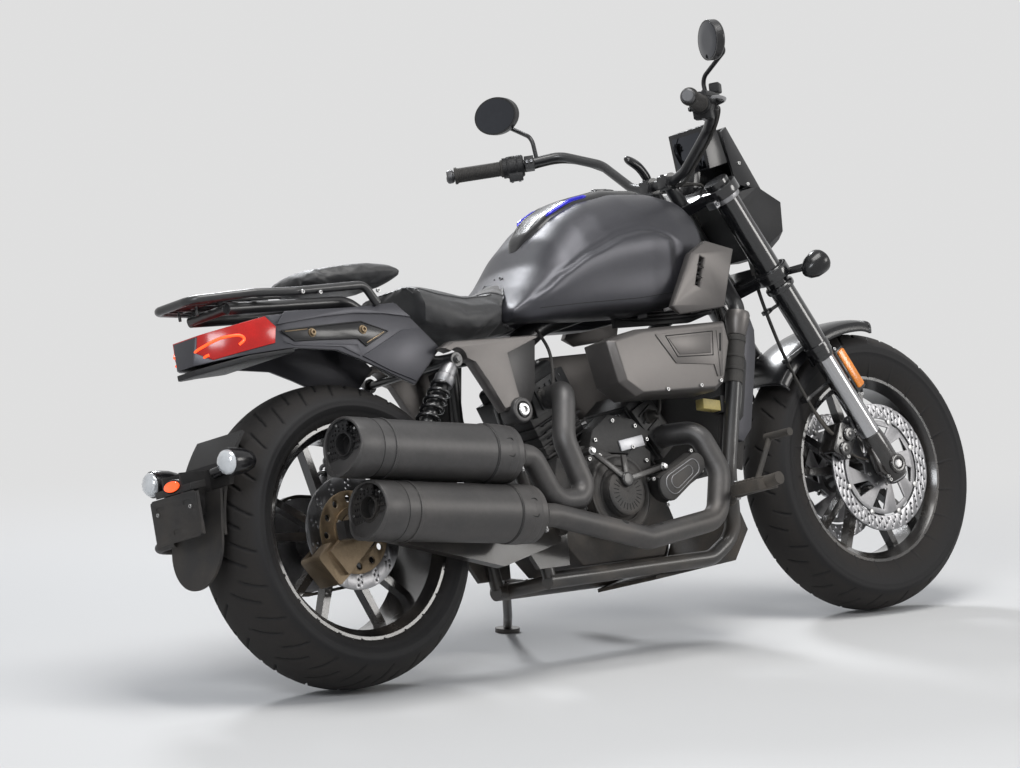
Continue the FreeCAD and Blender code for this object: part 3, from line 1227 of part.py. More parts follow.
def mirror(others):
    """An oval mirror, toed outwards, on a bent stem from the bar."""
    middle = BAR_CLAMP + V(-MIRROR_BACK, MIRROR_Y, MIRROR_UP)
    face = Part.Ellipse(V(0, 0, 0), MIRROR_W / 2, MIRROR_H / 2).toShape()
    shell = Part.Face(Part.Wire([face])).extrude(V(0, 0, MIRROR_THICK))
    shell = shell.makeFillet(MIRROR_ROUND, [e for e in shell.Edges if e.CenterOfMass.z > MIRROR_THICK / 2])
    shell.rotate(V(0, 0, 0), V(0, 0, 1), 90)
    shell.rotate(V(0, 0, 0), V(0, 1, 0), 90)
    shell.rotate(V(0, 0, 0), V(0, 0, 1), MIRROR_TOE)
    shell.translate(middle)
    ahead = V(math.cos(math.radians(MIRROR_TOE)), math.sin(math.radians(MIRROR_TOE)), 0)
    root = BAR_POINTS[1] + (BAR_POINTS[2] - BAR_POINTS[1]) * MIRROR_ROOT_SHARE
    root.z = BAR_POINTS[1].z + BAR_R
    knee = V(root.x - OVERRUN, root.y, root.z + (middle.z - root.z) * MIRROR_KNEE_SHARE)
    stem = bent_tube([root, knee, middle + ahead * MIRROR_STEM_AHEAD - V(0, 0, MIRROR_H / 4), middle + ahead * (MIRROR_THICK / 2)],
                     MIRROR_STEM_R, MIRROR_BEND)
    return joined([shell, stem]).cut(others)


def nacelle_slice(share, low_share, out):
    """The lamp's hexagonal front outline at a share of its size, drawn out ahead from a share of its depth."""
    low, high = FORK_CROWN + NACELLE_BELOW, FORK_TOP - CLAMP_THICK
    middle, half = (low + high) / 2, (high - low) / 2 + out
    right = [(-(NACELLE_HALF + out) * sy * share, middle + half * share * (2 * sz - 1)) for sy, sz in NACELLE_FRONT_SHARES]
    points = right + [(-y, up) for y, up in reversed(right)]
    start = NACELLE_AHEAD + NACELLE_DEEP * low_share
    face = Part.Face(closed([fork(up, start, y) for y, up in points]))
    return face.extrude(FORK_AHEAD * (NACELLE_DEEP * 2))


def nacelle_side(out):
    low, high = FORK_CROWN + NACELLE_BELOW, FORK_TOP - CLAMP_THICK
    return slab([fork(low + (high - low) * sz, NACELLE_AHEAD + out + NACELLE_DEEP * sx) for sx, sz in NACELLE_SIDE_SHARES],
                -FAR, FAR)


def headlamp_lens():
    return nacelle_slice(LENS_SHARE, 0.5, 0).common(nacelle_side(LENS_PROUD))


def headlamp():
    """The lamp's shell: its side outline cut to a hexagonal front, with stays between the fork tubes."""
    low, high = FORK_CROWN + NACELLE_BELOW, FORK_TOP - CLAMP_THICK
    shell = nacelle_slice(1, 0, 0).common(nacelle_side(0)).cut(headlamp_lens())
    stay = [fork(low + (high - low) * sz, NACELLE_AHEAD + NACELLE_DEEP * sx) for sx, sz in NACELLE_STAY_SHARES]
    y = FORK_Y - FORK_UPPER_R - FIT
    return joined([shell, slab(stay, y - NACELLE_STAY, y), slab(stay, -y, NACELLE_STAY - y)])


def screen_section(rear, front, halves):
    """A U-shaped section of the screen: two wings that draw in towards its front wall."""
    a, b = (fork(FORK_TOP + up, ahead) for ahead, up in (rear, front))
    inner = b - unit(b - a) * SCREEN_THICK
    a_out, b_out = halves
    a_in, b_in = a_out - SCREEN_THICK, b_out - SCREEN_THICK
    return [a - V(0, a_out, 0), b - V(0, b_out, 0), b + V(0, b_out, 0), a + V(0, a_out, 0),
            a + V(0, a_in, 0), inner + V(0, b_in, 0), inner - V(0, b_in, 0), a - V(0, a_in, 0)]


def windscreen():
    """The small screen wrapped round the gauge's front, on a foot that stands on the lamp."""
    low, high = FORK_CROWN + NACELLE_BELOW, FORK_TOP - CLAMP_THICK
    skin = plain_loft([screen_section(SCREEN_LOW_REAR, SCREEN_LOW_FRONT, SCREEN_LOW_HALVES),
                       screen_section(SCREEN_TOP_REAR, SCREEN_TOP_FRONT, SCREEN_TOP_HALVES)])
    foot = slab([fork(low + (high - low) * sz, NACELLE_AHEAD + NACELLE_DEEP * sx) for sx, sz in SCREEN_FOOT_SHARES],
                -SCREEN_FOOT_HALF, SCREEN_FOOT_HALF)
    return joined([skin, foot])


def instrument():
    """The gauge housing behind the screen on its foot over the upper clamp."""
    top = FORK_TOP + CLAMP_THICK / 2
    shell = slab([fork(top + up, ahead) for ahead, up in GAUGE_SHARES], -GAUGE_HALF, GAUGE_HALF)
    foot = slab([fork(top + up + FIT, ahead) for ahead, up in GAUGE_FOOT_SHARES], -GAUGE_FOOT_HALF, GAUGE_FOOT_HALF)
    return joined([shell, foot])


def front_signal():
    """A bullet lamp on a stalk out from the fork tube."""
    lens = fork(FRONT_SIGNAL_UP, FRONT_SIGNAL_AHEAD, -FRONT_SIGNAL_Y)
    root = lens + V(-SIGNAL_LENGTH * FRONT_STALK_SHARE, 0, 0)
    inner = -FORK_Y - FORK_UPPER_R - CLAMP_EAR - GAP
    return joined([signal(lens, V(-1, 0, 0)), rod(root, V(root.x, inner, root.z), FRONT_STALK_R)])


# Foot controls and side stand
def foot_control(others):
    """A footpeg and a toe lever on a bracket from the down tube."""
    down = spots(CRADLE_LOW, CRADLE_HIGH, CRADLE_SHARES)[2:4]
    root = V(CRANK.x + PEG_AHEAD, -PEG_Y, PEG_Z)
    stay = rod((down[0] + down[1]) * 0.5, root, PEG_STAY_R)
    peg = rod(root, root + V(OVERRUN, -PEG_LENGTH, PEG_LIFT), PEG_R)
    toe = root + V(TOE_AHEAD, PEG_Y - TOE_Y, TOE_UP)
    arm = bent_tube([root, root + V(TOE_AHEAD / 2, PEG_Y - TOE_Y, PEG_R), toe], TOE_ARM_R, TOE_BEND)
    pad = across(toe - V(0, TOE_LENGTH / 3, 0), TOE_LENGTH / 2, TOE_R)
    return joined([stay, peg, arm, pad]).cut(others)


def side_stand():
    """The deployed leg: an eye on the frame's pin, a bent leg and a pad flat on the floor."""
    up = V(0, -LEAN_SIN, LEAN_COS)
    eye = rod(STAND_PIVOT - STAND_AXIS * STAND_EYE_HALF, STAND_PIVOT + STAND_AXIS * STAND_EYE_HALF, STAND_EYE_R)
    foot = STAND_FOOT + up * STAND_PAD_SINK
    way = unit(foot - STAND_PIVOT)
    leg = bent_tube([STAND_PIVOT + way * STAND_EYE_HALF, (STAND_PIVOT + foot) * 0.5 - V(0, 0, STAND_SAG),
                     foot + up * STAND_STAY_R], STAND_LEG_R, STAND_BEND)
    pad = rod(STAND_FOOT, STAND_FOOT + up * STAND_PAD_THICK, STAND_PAD_R)
    pin = rod(STAND_PIVOT - STAND_AXIS * STAND_LUG_TOP, STAND_PIVOT + STAND_AXIS * STAND_LUG_TOP,
              STAND_PIN_R + STAND_PIN_PLAY)
    return joined([eye, leg, pad]).cut(pin)


# Assembly: the solids of each body, by node name
def chassis_nodes():
    main = frame()
    low = cradle(main)
    rear = subframe(main)
    case = engine_case()
    tank = fuel_tank()
    lamp = tail_block(LAMP_SIDE_SHARES, LAMP_PROUD)
    lip = tail_block(LIP_SIDE_SHARES, LAMP_PROUD).cut(lamp)
    room = shock_room()
    cover = rear_fender([low, rear, lamp, lip] + room)
    pipe = header(PORT_REAR, HEADER_REAR_OFFSETS, MUFFLER_UP_REAR, MUFFLER_UP_FRONT)
    return {
        "frame": main,
        "cradle": low,
        "subframe": rear.cut(low),
        "swingarm": swingarm(),
        "rear_axle": rear_axle(),
        "shocks": Part.makeCompound([shock(-SHOCK_RIGHT_Y), shock(SHOCK_LEFT_Y)]),
        "engine_case": case.cut(low),
        "cylinder_rear": bank(BANK_REAR_TILT).cut(case),
        "cylinder_front": bank(BANK_FRONT_TILT).cut(case),
        "engine_covers": Part.makeCompound([engine_cover(ROUND_COVER_AHEAD, -1, ROUND_COVER_DEEP),
                                            engine_cover(ROUND_COVER_LEFT_AHEAD, 1, ROUND_COVER_DEEP * ROUND_COVER_LEFT_SHARE),
                                            pump()]),
        "radiator": radiator().cut(low),
        "belly_pan": belly_pan().cut(low),
        "header_rear": pipe,
        "header_front": header(PORT_FRONT, HEADER_FRONT_OFFSETS, MUFFLER_LOW_REAR, MUFFLER_LOW_FRONT).cut(pipe),
        "muffler_upper": muffler(MUFFLER_UP_REAR, MUFFLER_UP_FRONT),
        "muffler_lower": muffler(MUFFLER_LOW_REAR, MUFFLER_LOW_FRONT),
        "airbox_covers": both_sides(airbox_cover()),
        "fuel_tank": tank,
        "tank_console": tank_console().cut(tank),
        "tank_shrouds": both_sides(tank_shroud()).cut(tank),
        "side_covers": both_sides(side_cover()).cut(room),
        "rider_seat": rider_seat().cut([tank, rear, main]),
        "pillion_seat": pillion_seat(),
        "rear_fender": cover,
        "tail_lamp": lamp,
        "tail_lip": lip,
        "rear_rack": rear_rack().cut(cover),
        "drive_belt": drive_belt(),
        "front_pulley": pulley(FRONT_PULLEY, FRONT_PULLEY_R),
        "plate_carrier": plate_carrier(),
        "rear_signals": both_sides(rear_signal()),
        "rear_caliper": rear_caliper(),
        "footpegs": both_sides(foot_control([low])),
    }


def fork_nodes():
    bar = handlebar()
    gear = both_sides(switchgear(bar))
    front = caliper(FRONT_AXLE, FRONT_DISC_R, -FRONT_DISC_Y, CALIPER_TURN_FRONT, CALIPER_HALF_FRONT)
    return {
        "triple_clamps": triple_clamps(),
        "fork_uppers": both_sides(fork_upper()),
        "fork_lowers": both_sides(fork_lower()),
        "front_axle": front_axle(),
        "front_fender": front_fender(),
        "front_calipers": both_sides(front),
        "handlebar": bar,
        "grips": both_sides(grip()),
        "switchgear": gear,
        "mirrors": both_sides(mirror([bar, gear])),
        "headlamp": headlamp(),
        "headlamp_lens": headlamp_lens(),
        "front_signals": both_sides(front_signal()),
        "windscreen": windscreen(),
        "instrument": instrument(),
    }


def wheel_nodes():
    front_disc = disc(FRONT_AXLE, FRONT_DISC_R, -FRONT_DISC_Y, FRONT_DISC_BORE)
    front = {
        "front_tyre": tyre(FRONT_AXLE, FRONT_TYRE_R, FRONT_CROWN_R, FRONT_TYRE_W, FRONT_RIM_R, FRONT_RIM_HALF),
        "front_rim": rim(FRONT_AXLE, FRONT_RIM_R, FRONT_RIM_HALF, FRONT_DISC_Y - DISC_THICK / 2, 0),
        "front_discs": both_sides(front_disc),
    }
    rear = {
        "rear_tyre": tyre(REAR_AXLE, REAR_TYRE_R, REAR_CROWN_R, REAR_TYRE_W, REAR_RIM_R, REAR_RIM_HALF),
        "rear_rim": rim(REAR_AXLE, REAR_RIM_R, REAR_RIM_HALF, HUB_HALF_REAR, SPOKE_SHIFT_REAR),
        "rear_disc": disc(REAR_AXLE, REAR_DISC_R, -REAR_DISC_Y, HUB_R + FIT),
        "rear_pulley": pulley(REAR_AXLE, PULLEY_R).cut(across(REAR_AXLE, FAR, AXLE_BORE)),
    }
    return front, rear


def assemble():
    front, rear = wheel_nodes()
    bodies = {"chassis": chassis_nodes(), "fork": fork_nodes(), "front_wheel": front, "rear_wheel": rear,
              "stand": {"side_stand": side_stand()}}
    return {name: (body, shape) for body, nodes in bodies.items() for name, shape in nodes.items()}


def place(shape, body):
    """Steers what turns with the fork, then leans everything onto the stand."""
    if body in ("fork", "front_wheel"):
        shape.rotate(STEER_FOOT, STEER_AXIS, STEER_AT_REST)
    shape.rotate(V(0, 0, 0), V(1, 0, 0), -LEAN)


NODES = assemble()
whole = FreeCAD.BoundBox()
for name, (body, shape) in NODES.items():
    place(shape, body)
    whole.add(shape.optimalBoundingBox(False, False))
ORIGIN = V((whole.XMin + whole.XMax) / 2, (whole.YMin + whole.YMax) / 2, whole.ZMin)
for name, (body, shape) in NODES.items():
    shape.translate(-ORIGIN)
    shape.exportStep(f"parts/{name}.step")
print(f"{len(NODES)} nodes, box {whole.XLength:.1f} x {whole.YLength:.1f} x {whole.ZLength:.1f}, origin {ORIGIN}")
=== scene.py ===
import json
import math

import bmesh
import bpy
from mathutils import Matrix, Vector
from mathutils.bvhtree import BVHTree

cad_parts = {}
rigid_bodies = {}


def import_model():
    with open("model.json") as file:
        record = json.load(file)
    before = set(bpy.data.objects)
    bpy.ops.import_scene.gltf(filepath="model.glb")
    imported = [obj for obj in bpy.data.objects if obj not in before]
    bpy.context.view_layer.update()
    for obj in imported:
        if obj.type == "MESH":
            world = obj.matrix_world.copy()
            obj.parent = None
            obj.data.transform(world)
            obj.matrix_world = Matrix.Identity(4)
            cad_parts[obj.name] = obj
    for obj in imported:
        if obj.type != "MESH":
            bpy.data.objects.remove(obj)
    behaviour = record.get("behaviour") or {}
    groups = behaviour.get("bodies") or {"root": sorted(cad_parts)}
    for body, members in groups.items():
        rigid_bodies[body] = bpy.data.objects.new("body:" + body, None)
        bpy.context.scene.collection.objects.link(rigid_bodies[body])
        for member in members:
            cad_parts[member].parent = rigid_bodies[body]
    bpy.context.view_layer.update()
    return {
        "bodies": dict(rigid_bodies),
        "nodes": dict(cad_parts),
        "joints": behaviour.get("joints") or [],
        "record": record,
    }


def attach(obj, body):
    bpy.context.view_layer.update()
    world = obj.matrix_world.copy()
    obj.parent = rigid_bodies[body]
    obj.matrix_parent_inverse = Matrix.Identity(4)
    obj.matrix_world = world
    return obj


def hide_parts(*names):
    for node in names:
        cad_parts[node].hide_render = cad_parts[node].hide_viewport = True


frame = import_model()
NODES = frame["nodes"]
BODY_OF = {node: body for body, nodes in frame["record"]["behaviour"]["bodies"].items() for node in nodes}
SLOT = {part["node"]: part["material_slot"] for part in frame["record"]["subparts"]}

# Stance in millimetres and degrees, as in the part's source: the machine is modelled upright, the fork
# turned about the steering axis, and all of it leaned onto the stand
LEAN = 15.2
STEER = -3.8
MM = 0.001
ORIGIN = Vector((730.4148573773209, 236.52567046523268, -9.43881043107119))
STEER_FOOT = Vector((1673.0, 0.0, 0.0))
STEER_AXIS = Vector((-0.5, 0.0, 0.8660254))
FORK_AHEAD = Vector((0.8660254, 0.0, 0.5))
SIDE = Vector((0.0, 1.0, 0.0))
RIGHT = -SIDE
UP = Vector((0.0, 0.0, 1.0))
FRONT_AXLE = Vector((1548.0, 0.0, 323.18))
REAR_AXLE = Vector((-20.0, 0.0, 315.0))

# Camera and stage
EYE = (-5.32321, -5.80663, 1.32314)
EYE_YAW, EYE_PITCH = 48.218, -5.462
EYE_LENS, EYE_SENSOR = 125.76, 36.0
CLIP_END = 100.0
FLOOR_SIZE = 60.0
FLOOR_SHADE = (0.60, 0.60, 0.60)
FLOOR_ROUGH = 0.9
FLOOR_FADE = (1.1, 3.4)
BACKDROP = 0.74
WHITE = (1.0, 1.0, 1.0, 1.0)
SKY_SHADE = (0.80, 0.86, 0.95, 1.0)
SKY_STRENGTH = 0.26
LAMP_TARGET = Vector((0.0, 0.0, 0.5))
LAMPS = (
    # name, place, size in metres, watts, colour
    ("light_top", (-0.4, -1.2, 4.6), 2.4, 150.0, (1.0, 0.99, 0.97)),
    ("light_key", (-4.6, -3.2, 3.2), 1.6, 120.0, (0.93, 0.96, 1.0)),
    ("light_front", (3.6, -4.6, 2.4), 1.8, 90.0, (1.0, 0.98, 0.95)),
    ("light_back", (1.8, 4.4, 4.0), 1.2, 190.0, (0.95, 0.97, 1.0)),
)

# Meshes
SHARP = 32.0
SHARP_SOFT = 60.0
EDGE_ANGLE = 28.0
MERGE = 0.01
NODE_MERGE = 0.02 * MM
FLAT_ANGLE = 0.8


def turn(degrees, way, foot=(0.0, 0.0, 0.0)):
    foot = Vector(foot)
    about = Matrix.Rotation(math.radians(degrees), 4, Vector(way))
    return Matrix.Translation(foot) @ about @ Matrix.Translation(-foot)


def basis(x, y, z, origin=(0.0, 0.0, 0.0)):
    """The frame whose axes are x, y and z at an origin."""
    made = Matrix((x, y, z)).transposed().to_4x4()
    made.translation = Vector(origin)
    return made


UPRIGHT = Matrix.Scale(MM, 4) @ Matrix.Translation(-ORIGIN) @ turn(-LEAN, (1, 0, 0))
STEERED = UPRIGHT @ turn(STEER, STEER_AXIS, STEER_FOOT)
REST = {"chassis": UPRIGHT, "rear_wheel": UPRIGHT, "stand": UPRIGHT, "fork": STEERED, "front_wheel": STEERED}
FORK = basis(FORK_AHEAD, SIDE, STEER_AXIS, FRONT_AXLE)


# Finishes


class Num:
    """A shader socket as a number, so that sums on it are written as sums."""

    def __init__(self, nodes, socket):
        self.nodes = nodes
        self.socket = socket

    def math(self, operation, *values):
        node = self.nodes.add("ShaderNodeMath", {"operation": operation}, dict(enumerate(values)))
        return Num(self.nodes, node.outputs[0])

    def __add__(self, other):
        return self.math("ADD", self, other)

    def __sub__(self, other):
        return self.math("SUBTRACT", self, other)

    def __mul__(self, other):
        return self.math("MULTIPLY", self, other)

    def __rsub__(self, other):
        return self.math("SUBTRACT", other, self)

    def __pow__(self, other):
        return self.math("POWER", self, other)

    def most(self, other):
        return self.math("MAXIMUM", self, other)

    def least(self, other):
        return self.math("MINIMUM", self, other)

    def ramp(self, low, high):
        """0 at low and 1 at high, eased at both ends."""
        sockets = {"Value": self, "From Min": low, "From Max": high}
        node = self.nodes.add("ShaderNodeMapRange", {"interpolation_type": "SMOOTHSTEP"}, sockets)
        return Num(self.nodes, node.outputs[0])


class Nodes:
    """The shader nodes of a finish or of the sky."""

    def __init__(self, tree):
        self.tree = tree

    def set(self, socket, value):
        if isinstance(value, Num):
            value = value.socket
        if isinstance(value, bpy.types.NodeSocket):
            self.tree.links.new(value, socket)
        else:
            socket.default_value = value

    def add(self, kind, settings=None, sockets=None):
        """Any node: its type, its settings, and what goes into its sockets."""
        node = self.tree.nodes.new(kind)
        for key, value in (settings or {}).items():
            setattr(node, key, value)
        for key, value in (sockets or {}).items():
            self.set(node.inputs[key], value)
        return node

    def seen(self):
        """1 in what the camera, gloss and glass see, and 0 in the light that falls on a surface."""
        ray = self.add("ShaderNodeLightPath").outputs
        camera, gloss, glass = (Num(self, ray[f"Is {kind} Ray"]) for kind in ("Camera", "Glossy", "Transmission"))
        return (camera + gloss + glass).least(1.0)


class Finish(Nodes):
    """A procedural material round one Principled shader."""

    def __init__(self, name, shade, rough, metal=0.0, coat=0.0, own=None):
        self.name = name
        self.material = bpy.data.materials.new(name)
        self.material.use_nodes = True
        super().__init__(self.material.node_tree)
        self.shader = self.tree.nodes["Principled BSDF"]
        self.shade = (*shade, 1.0)
        self.rough = rough
        self.feed("Base Color", self.shade)
        self.feed("Roughness", rough)
        self.feed("Metallic", metal)
        self.feed("Coat Weight", coat)
        self.feed("Coat Roughness", 0.12)
        for socket, value in (own or {}).items():
            self.feed(socket, value)
        self.material.diffuse_color = self.shade

    def feed(self, socket, value):
        self.set(self.shader.inputs[socket], value)

    def place(self):
        """The point in the row frame, in metres."""
        return self.add("ShaderNodeTexCoord").outputs["Object"]

    def noise(self, scale, detail=4.0):
        sockets = {"Vector": self.place(), "Scale": scale, "Detail": detail}
        return Num(self, self.add("ShaderNodeTexNoise", None, sockets).outputs[0])

    def cells(self, scale):
        sockets = {"Vector": self.place(), "Scale": scale}
        return Num(self, self.add("ShaderNodeTexVoronoi", None, sockets).outputs[0])

    def painted(self, name):
        """A number that a piece carries on its points."""
        return Num(self, self.add("ShaderNodeAttribute", {"attribute_name": name}).outputs["Fac"])

    def mix(self, share, one, two):
        return self.add("ShaderNodeMix", {"data_type": "RGBA"}, {0: share, 6: one, 7: two}).outputs[2]

    def bump(self, height, depth, edge=0.0):
        """Relief in the surface, over edges that are rounded by `edge` metres."""
        sockets = {"Height": height, "Distance": depth, "Strength": 1.0}
        if edge:
            sockets["Normal"] = self.add("ShaderNodeBevel", {"samples": 3}, {"Radius": edge}).outputs[0]
        self.feed("Normal", self.add("ShaderNodeBump", None, sockets).outputs[0])
        return self

    def worn(self, scale, tone, rough, dust=0.0):
        """Uneven tone and roughness, and dust low on the machine and in patches."""
        cloud = self.noise(scale)
        fine = self.noise(scale * 14.0, FINE_DETAIL)
        dark = tuple(c * (1.0 - tone) for c in self.shade[:3]) + (1.0,)
        light = tuple(min(1.0, c * (1.0 + tone)) for c in self.shade[:3]) + (1.0,)
        colour = self.mix((cloud * 0.7 + fine * 0.3).ramp(0.35, 0.65), dark, light)
        roughness = (cloud - 0.5) * rough * 2.0 + self.rough + (fine - 0.5) * rough
        if dust:
            height = Num(self, self.add("ShaderNodeSeparateXYZ", None, {0: self.place()}).outputs[2])
            low = 1.0 - height.ramp(*DUST_HEIGHTS)
            share = (low * dust * cloud.ramp(0.30, 0.75) + low * fine * dust * 0.35).least(1.0).most(0.0)
            colour = self.mix(share, colour, DUST_SHADE)
            roughness = roughness + share * 0.35
        self.feed("Base Color", colour)
        self.feed("Roughness", roughness.most(0.02).least(1.0))
        return self

    def grained(self, scale, depth, edge=1.2 * MM):
        """The fine relief of a casting, moulding or paint."""
        return self.bump(self.noise(scale, FINE_DETAIL), depth, edge)


FINE_DETAIL = 3.0
DUST_SHADE = (0.16, 0.13, 0.10, 1.0)
DUST_HEIGHTS = (0.02, 0.62)
FINISH_ROWS = (
    # name, colour, roughness, metal, coat, (wear's scale, tone, roughness and dust), (grain's scale, depth and edge)
    ("black_frame", (0.014, 0.014, 0.015), 0.36, 0.0, 0.25, (9.0, 0.18, 0.08, 0.35), (500.0, 0.0002)),
    ("black_gloss", (0.008, 0.008, 0.009), 0.20, 0.0, 0.6, (9.0, 0.1, 0.04, 0.25), (90.0, 0.0002)),
    ("grey_matte", (0.060, 0.060, 0.068), 0.38, 0.6, 0.0, (5.0, 0.05, 0.03), (1500.0, 0.0001, 0.0020)),
    ("grey_light", (0.118, 0.110, 0.106), 0.40, 0.6, 0.0, (5.0, 0.05, 0.03), (1500.0, 0.0001, 0.0016)),
    ("engine_black", (0.026, 0.026, 0.027), 0.48, 0.2, 0.0, (12.0, 0.3, 0.08, 0.45), (650.0, 0.0006, 0.0018)),
    ("exhaust", (0.072, 0.070, 0.070), 0.44, 0.55, 0.0, (7.0, 0.14, 0.06, 0.30), (900.0, 0.0002, 0.0020)),
    ("steel", (0.38, 0.38, 0.38), 0.32, 1.0, 0.0, (14.0, 0.18, 0.08, 0.2), (400.0, 0.0002)),
    ("alloy", (0.26, 0.26, 0.27), 0.40, 1.0, 0.0, (14.0, 0.18, 0.08, 0.2), (600.0, 0.0004)),
    ("chrome", (0.42, 0.42, 0.43), 0.14, 1.0, 0.0, (9.0, 0.04, 0.03), (60.0, 0.00003)),
    ("bronze", (0.22, 0.165, 0.105), 0.40, 0.85, 0.0, (16.0, 0.2, 0.08, 0.35), (500.0, 0.0003)),
    ("rubber", (0.030, 0.028, 0.026), 0.72, 0.0, 0.0, (20.0, 0.3, 0.08, 0.8), (700.0, 0.0005, 0.0010)),
    ("plastic_black", (0.014, 0.014, 0.015), 0.50, 0.0, 0.0, (12.0, 0.2, 0.08, 0.45), (1100.0, 0.0005, 0.0012)),
    ("plastic_gloss", (0.008, 0.008, 0.009), 0.24, 0.0, 0.15, (9.0, 0.1, 0.03, 0.1), (60.0, 0.0001, 0.0016)),
    ("lamp_red", (0.32, 0.004, 0.002), 0.22, 0.0, 0.15, None, (220.0, 0.0002, 0.0012)),
    ("lamp_clear", (0.62, 0.64, 0.66), 0.06, 0.35, 0.9, (30.0, 0.1, 0.02), (240.0, 0.0004, 0.0010)),
    ("smoke", (0.010, 0.010, 0.011), 0.20, 0.0, 0.0, (8.0, 0.15, 0.02), (30.0, 0.0001, 0.0010)),
    ("mirror", (0.012, 0.012, 0.013), 0.34, 0.0, 0.0, (20.0, 0.2, 0.04), (900.0, 0.0002, 0.0010)),
    ("glass", (0.055, 0.058, 0.066), 0.03, 1.0, 0.0, (9.0, 0.06, 0.01), None),
    ("glow_red", (0.9, 0.10, 0.02), 0.2, 0.0, 0.0, None, (200.0, 0.0001)),
    ("dark_red", (0.30, 0.003, 0.002), 0.20, 0.0, 0.1, (20.0, 0.2, 0.02), None),
    ("amber", (0.75, 0.22, 0.01), 0.12, 0.0, 0.7, (20.0, 0.12, 0.02), (420.0, 0.0004)),
    ("blue_strip", (0.010, 0.008, 0.55), 0.14, 0.3, 0.8, (14.0, 0.15, 0.03), None),
    ("tan_box", (0.52, 0.42, 0.15), 0.5, 0.0, 0.0, (20.0, 0.15, 0.05, 0.2), None),
    # Near black for dark seams, and for holes, slots and grooves as painted shade
    ("dark_seam_and_hollow_shade", (0.003, 0.003, 0.003), 0.8, 0.0, 0.0, (30.0, 0.2, 0.08), None),
    ("suede", (0.060, 0.056, 0.054), 0.78, 0.0, 0.0, (10.0, 0.12, 0.05), (1800.0, 0.0004, 0.0)),
    ("alloy_pale", (0.62, 0.62, 0.64), 0.45, 0.5, 0.0, (14.0, 0.08, 0.08, 0.1), None),
    ("bar_grey", (0.085, 0.085, 0.088), 0.42, 0.6, 0.0, (12.0, 0.12, 0.08, 0.1), (900.0, 0.0002)),
    ("disc_steel", (0.25, 0.25, 0.26), 0.32, 1.0, 0.0, (30.0, 0.10, 0.06, 0.05), (900.0, 0.0001, 0.0006)),
    ("seat", (0.020, 0.020, 0.021), 0.46, 0.0, 0.0, (6.0, 0.15, 0.06), None),
    ("tyre", (0.014, 0.014, 0.014), 0.80, 0.0, 0.0, None, None),
)
OWN_SOCKETS = {
    "plastic_black": {"Specular IOR Level": 0.3},
    "plastic_gloss": {"Specular IOR Level": 0.35},
    "smoke": {"Specular IOR Level": 0.35},
    "tyre": {"Specular IOR Level": 0.25},
    "lamp_red": {"Emission Color": (0.9, 0.012, 0.003, 1.0), "Emission Strength": 0.28},
    "glow_red": {"Emission Color": (1.0, 0.10, 0.02, 1.0), "Emission Strength": 1.0},
    "dark_red": {"Emission Color": (0.8, 0.008, 0.002, 1.0), "Emission Strength": 0.22},
    "suede": {"Sheen Weight": 0.3},
    "seat": {"Sheen Weight": 0.15, "Sheen Roughness": 0.5},
}
TREAD_BLACK, TREAD_DUSTY = (0.011, 0.011, 0.012, 1.0), (0.030, 0.027, 0.025, 1.0)


def make_finishes():
    made = {}
    for name, shade, rough, metal, coat, wear, grain in FINISH_ROWS:
        finish = made[name] = Finish(name, shade, rough, metal, coat, OWN_SOCKETS.get(name))
        if wear:
            finish.worn(*wear)
        if grain:
            finish.grained(*grain)
    seat, tyre = made["seat"], made["tyre"]
    seat.bump(seat.cells(700.0) * 0.6 + seat.noise(60.0) * 0.4, 0.0004)
    cloud, fine = tyre.noise(7.0), tyre.noise(160.0, FINE_DETAIL)
    # The dust share is low in the tread's slits, so they come out darker: painted shade in the grooves
    share = (tyre.painted("dust") * (cloud * 0.9 + fine * 0.5)).least(1.0).most(0.0)
    tyre.feed("Base Color", tyre.mix(share, TREAD_BLACK, TREAD_DUSTY))
    tyre.feed("Roughness", share * 0.3 + 0.62)
    tyre.bump(fine, 0.0004)
    return made


FINISHES = make_finishes()


# Meshes


def held(name, data):
    """Data in an object of its own, in the scene."""
    holder = bpy.data.objects.new(name, data)
    bpy.context.collection.objects.link(holder)
    return holder


def settled(holder):
    """The holder's mesh with its modifiers worked in; the holder goes."""
    mesh = bpy.data.meshes.new_from_object(holder.evaluated_get(bpy.context.evaluated_depsgraph_get()))
    mesh.name = holder.name
    bpy.data.objects.remove(holder)
    return mesh


def place(name, mesh, finish, body, replaces=(), sharp=SHARP):
    """A piece made in metres of the row frame, dressed and fastened on its body."""
    piece = held(name, mesh)
    mesh.materials.clear()
    mesh.materials.append(FINISHES[finish].material)
    for face in mesh.polygons:
        face.use_smooth = True
    mesh.set_sharp_from_angle(angle=math.radians(sharp))
    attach(piece, body)
    if replaces:
        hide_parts(*replaces)
    return piece


def angles(count, start=0.0):
    """Even steps round a circle, in radians; start is a share of a step."""
    return [math.tau * (i + start) / count for i in range(count)]


def polar(radius, angle):
    return radius * math.cos(angle), radius * math.sin(angle)


def about(centre, radius, angle, side=0.0):
    """A point round a centre in the machine's side view."""
    x, z = polar(radius, angle)
    return centre + Vector((x, side, z))


def circle(radius, count=48, x=0.0, y=0.0):
    return [(x + a, y + b) for a, b in (polar(radius, angle) for angle in angles(count))]


def at_side(y, *points):
    """Points of the side view at a distance to the side."""
    return [(x, y, z) for x, z in points]


def spline(points, steps=8):
    """A smooth line through points, at even steps between them."""
    points = [Vector(p) for p in points]
    made = []
    for i in range(len(points) - 1):
        a, b = points[max(i - 1, 0)], points[i]
        c, d = points[i + 1], points[min(i + 2, len(points) - 1)]
        for k in range(steps):
            t = k / steps
            made.append(0.5 * ((2 * b) + (c - a) * t + (2 * a - 5 * b + 4 * c - d) * t * t
                               + (3 * b - a - 3 * c + d) * t ** 3))
    return made + [points[-1]]


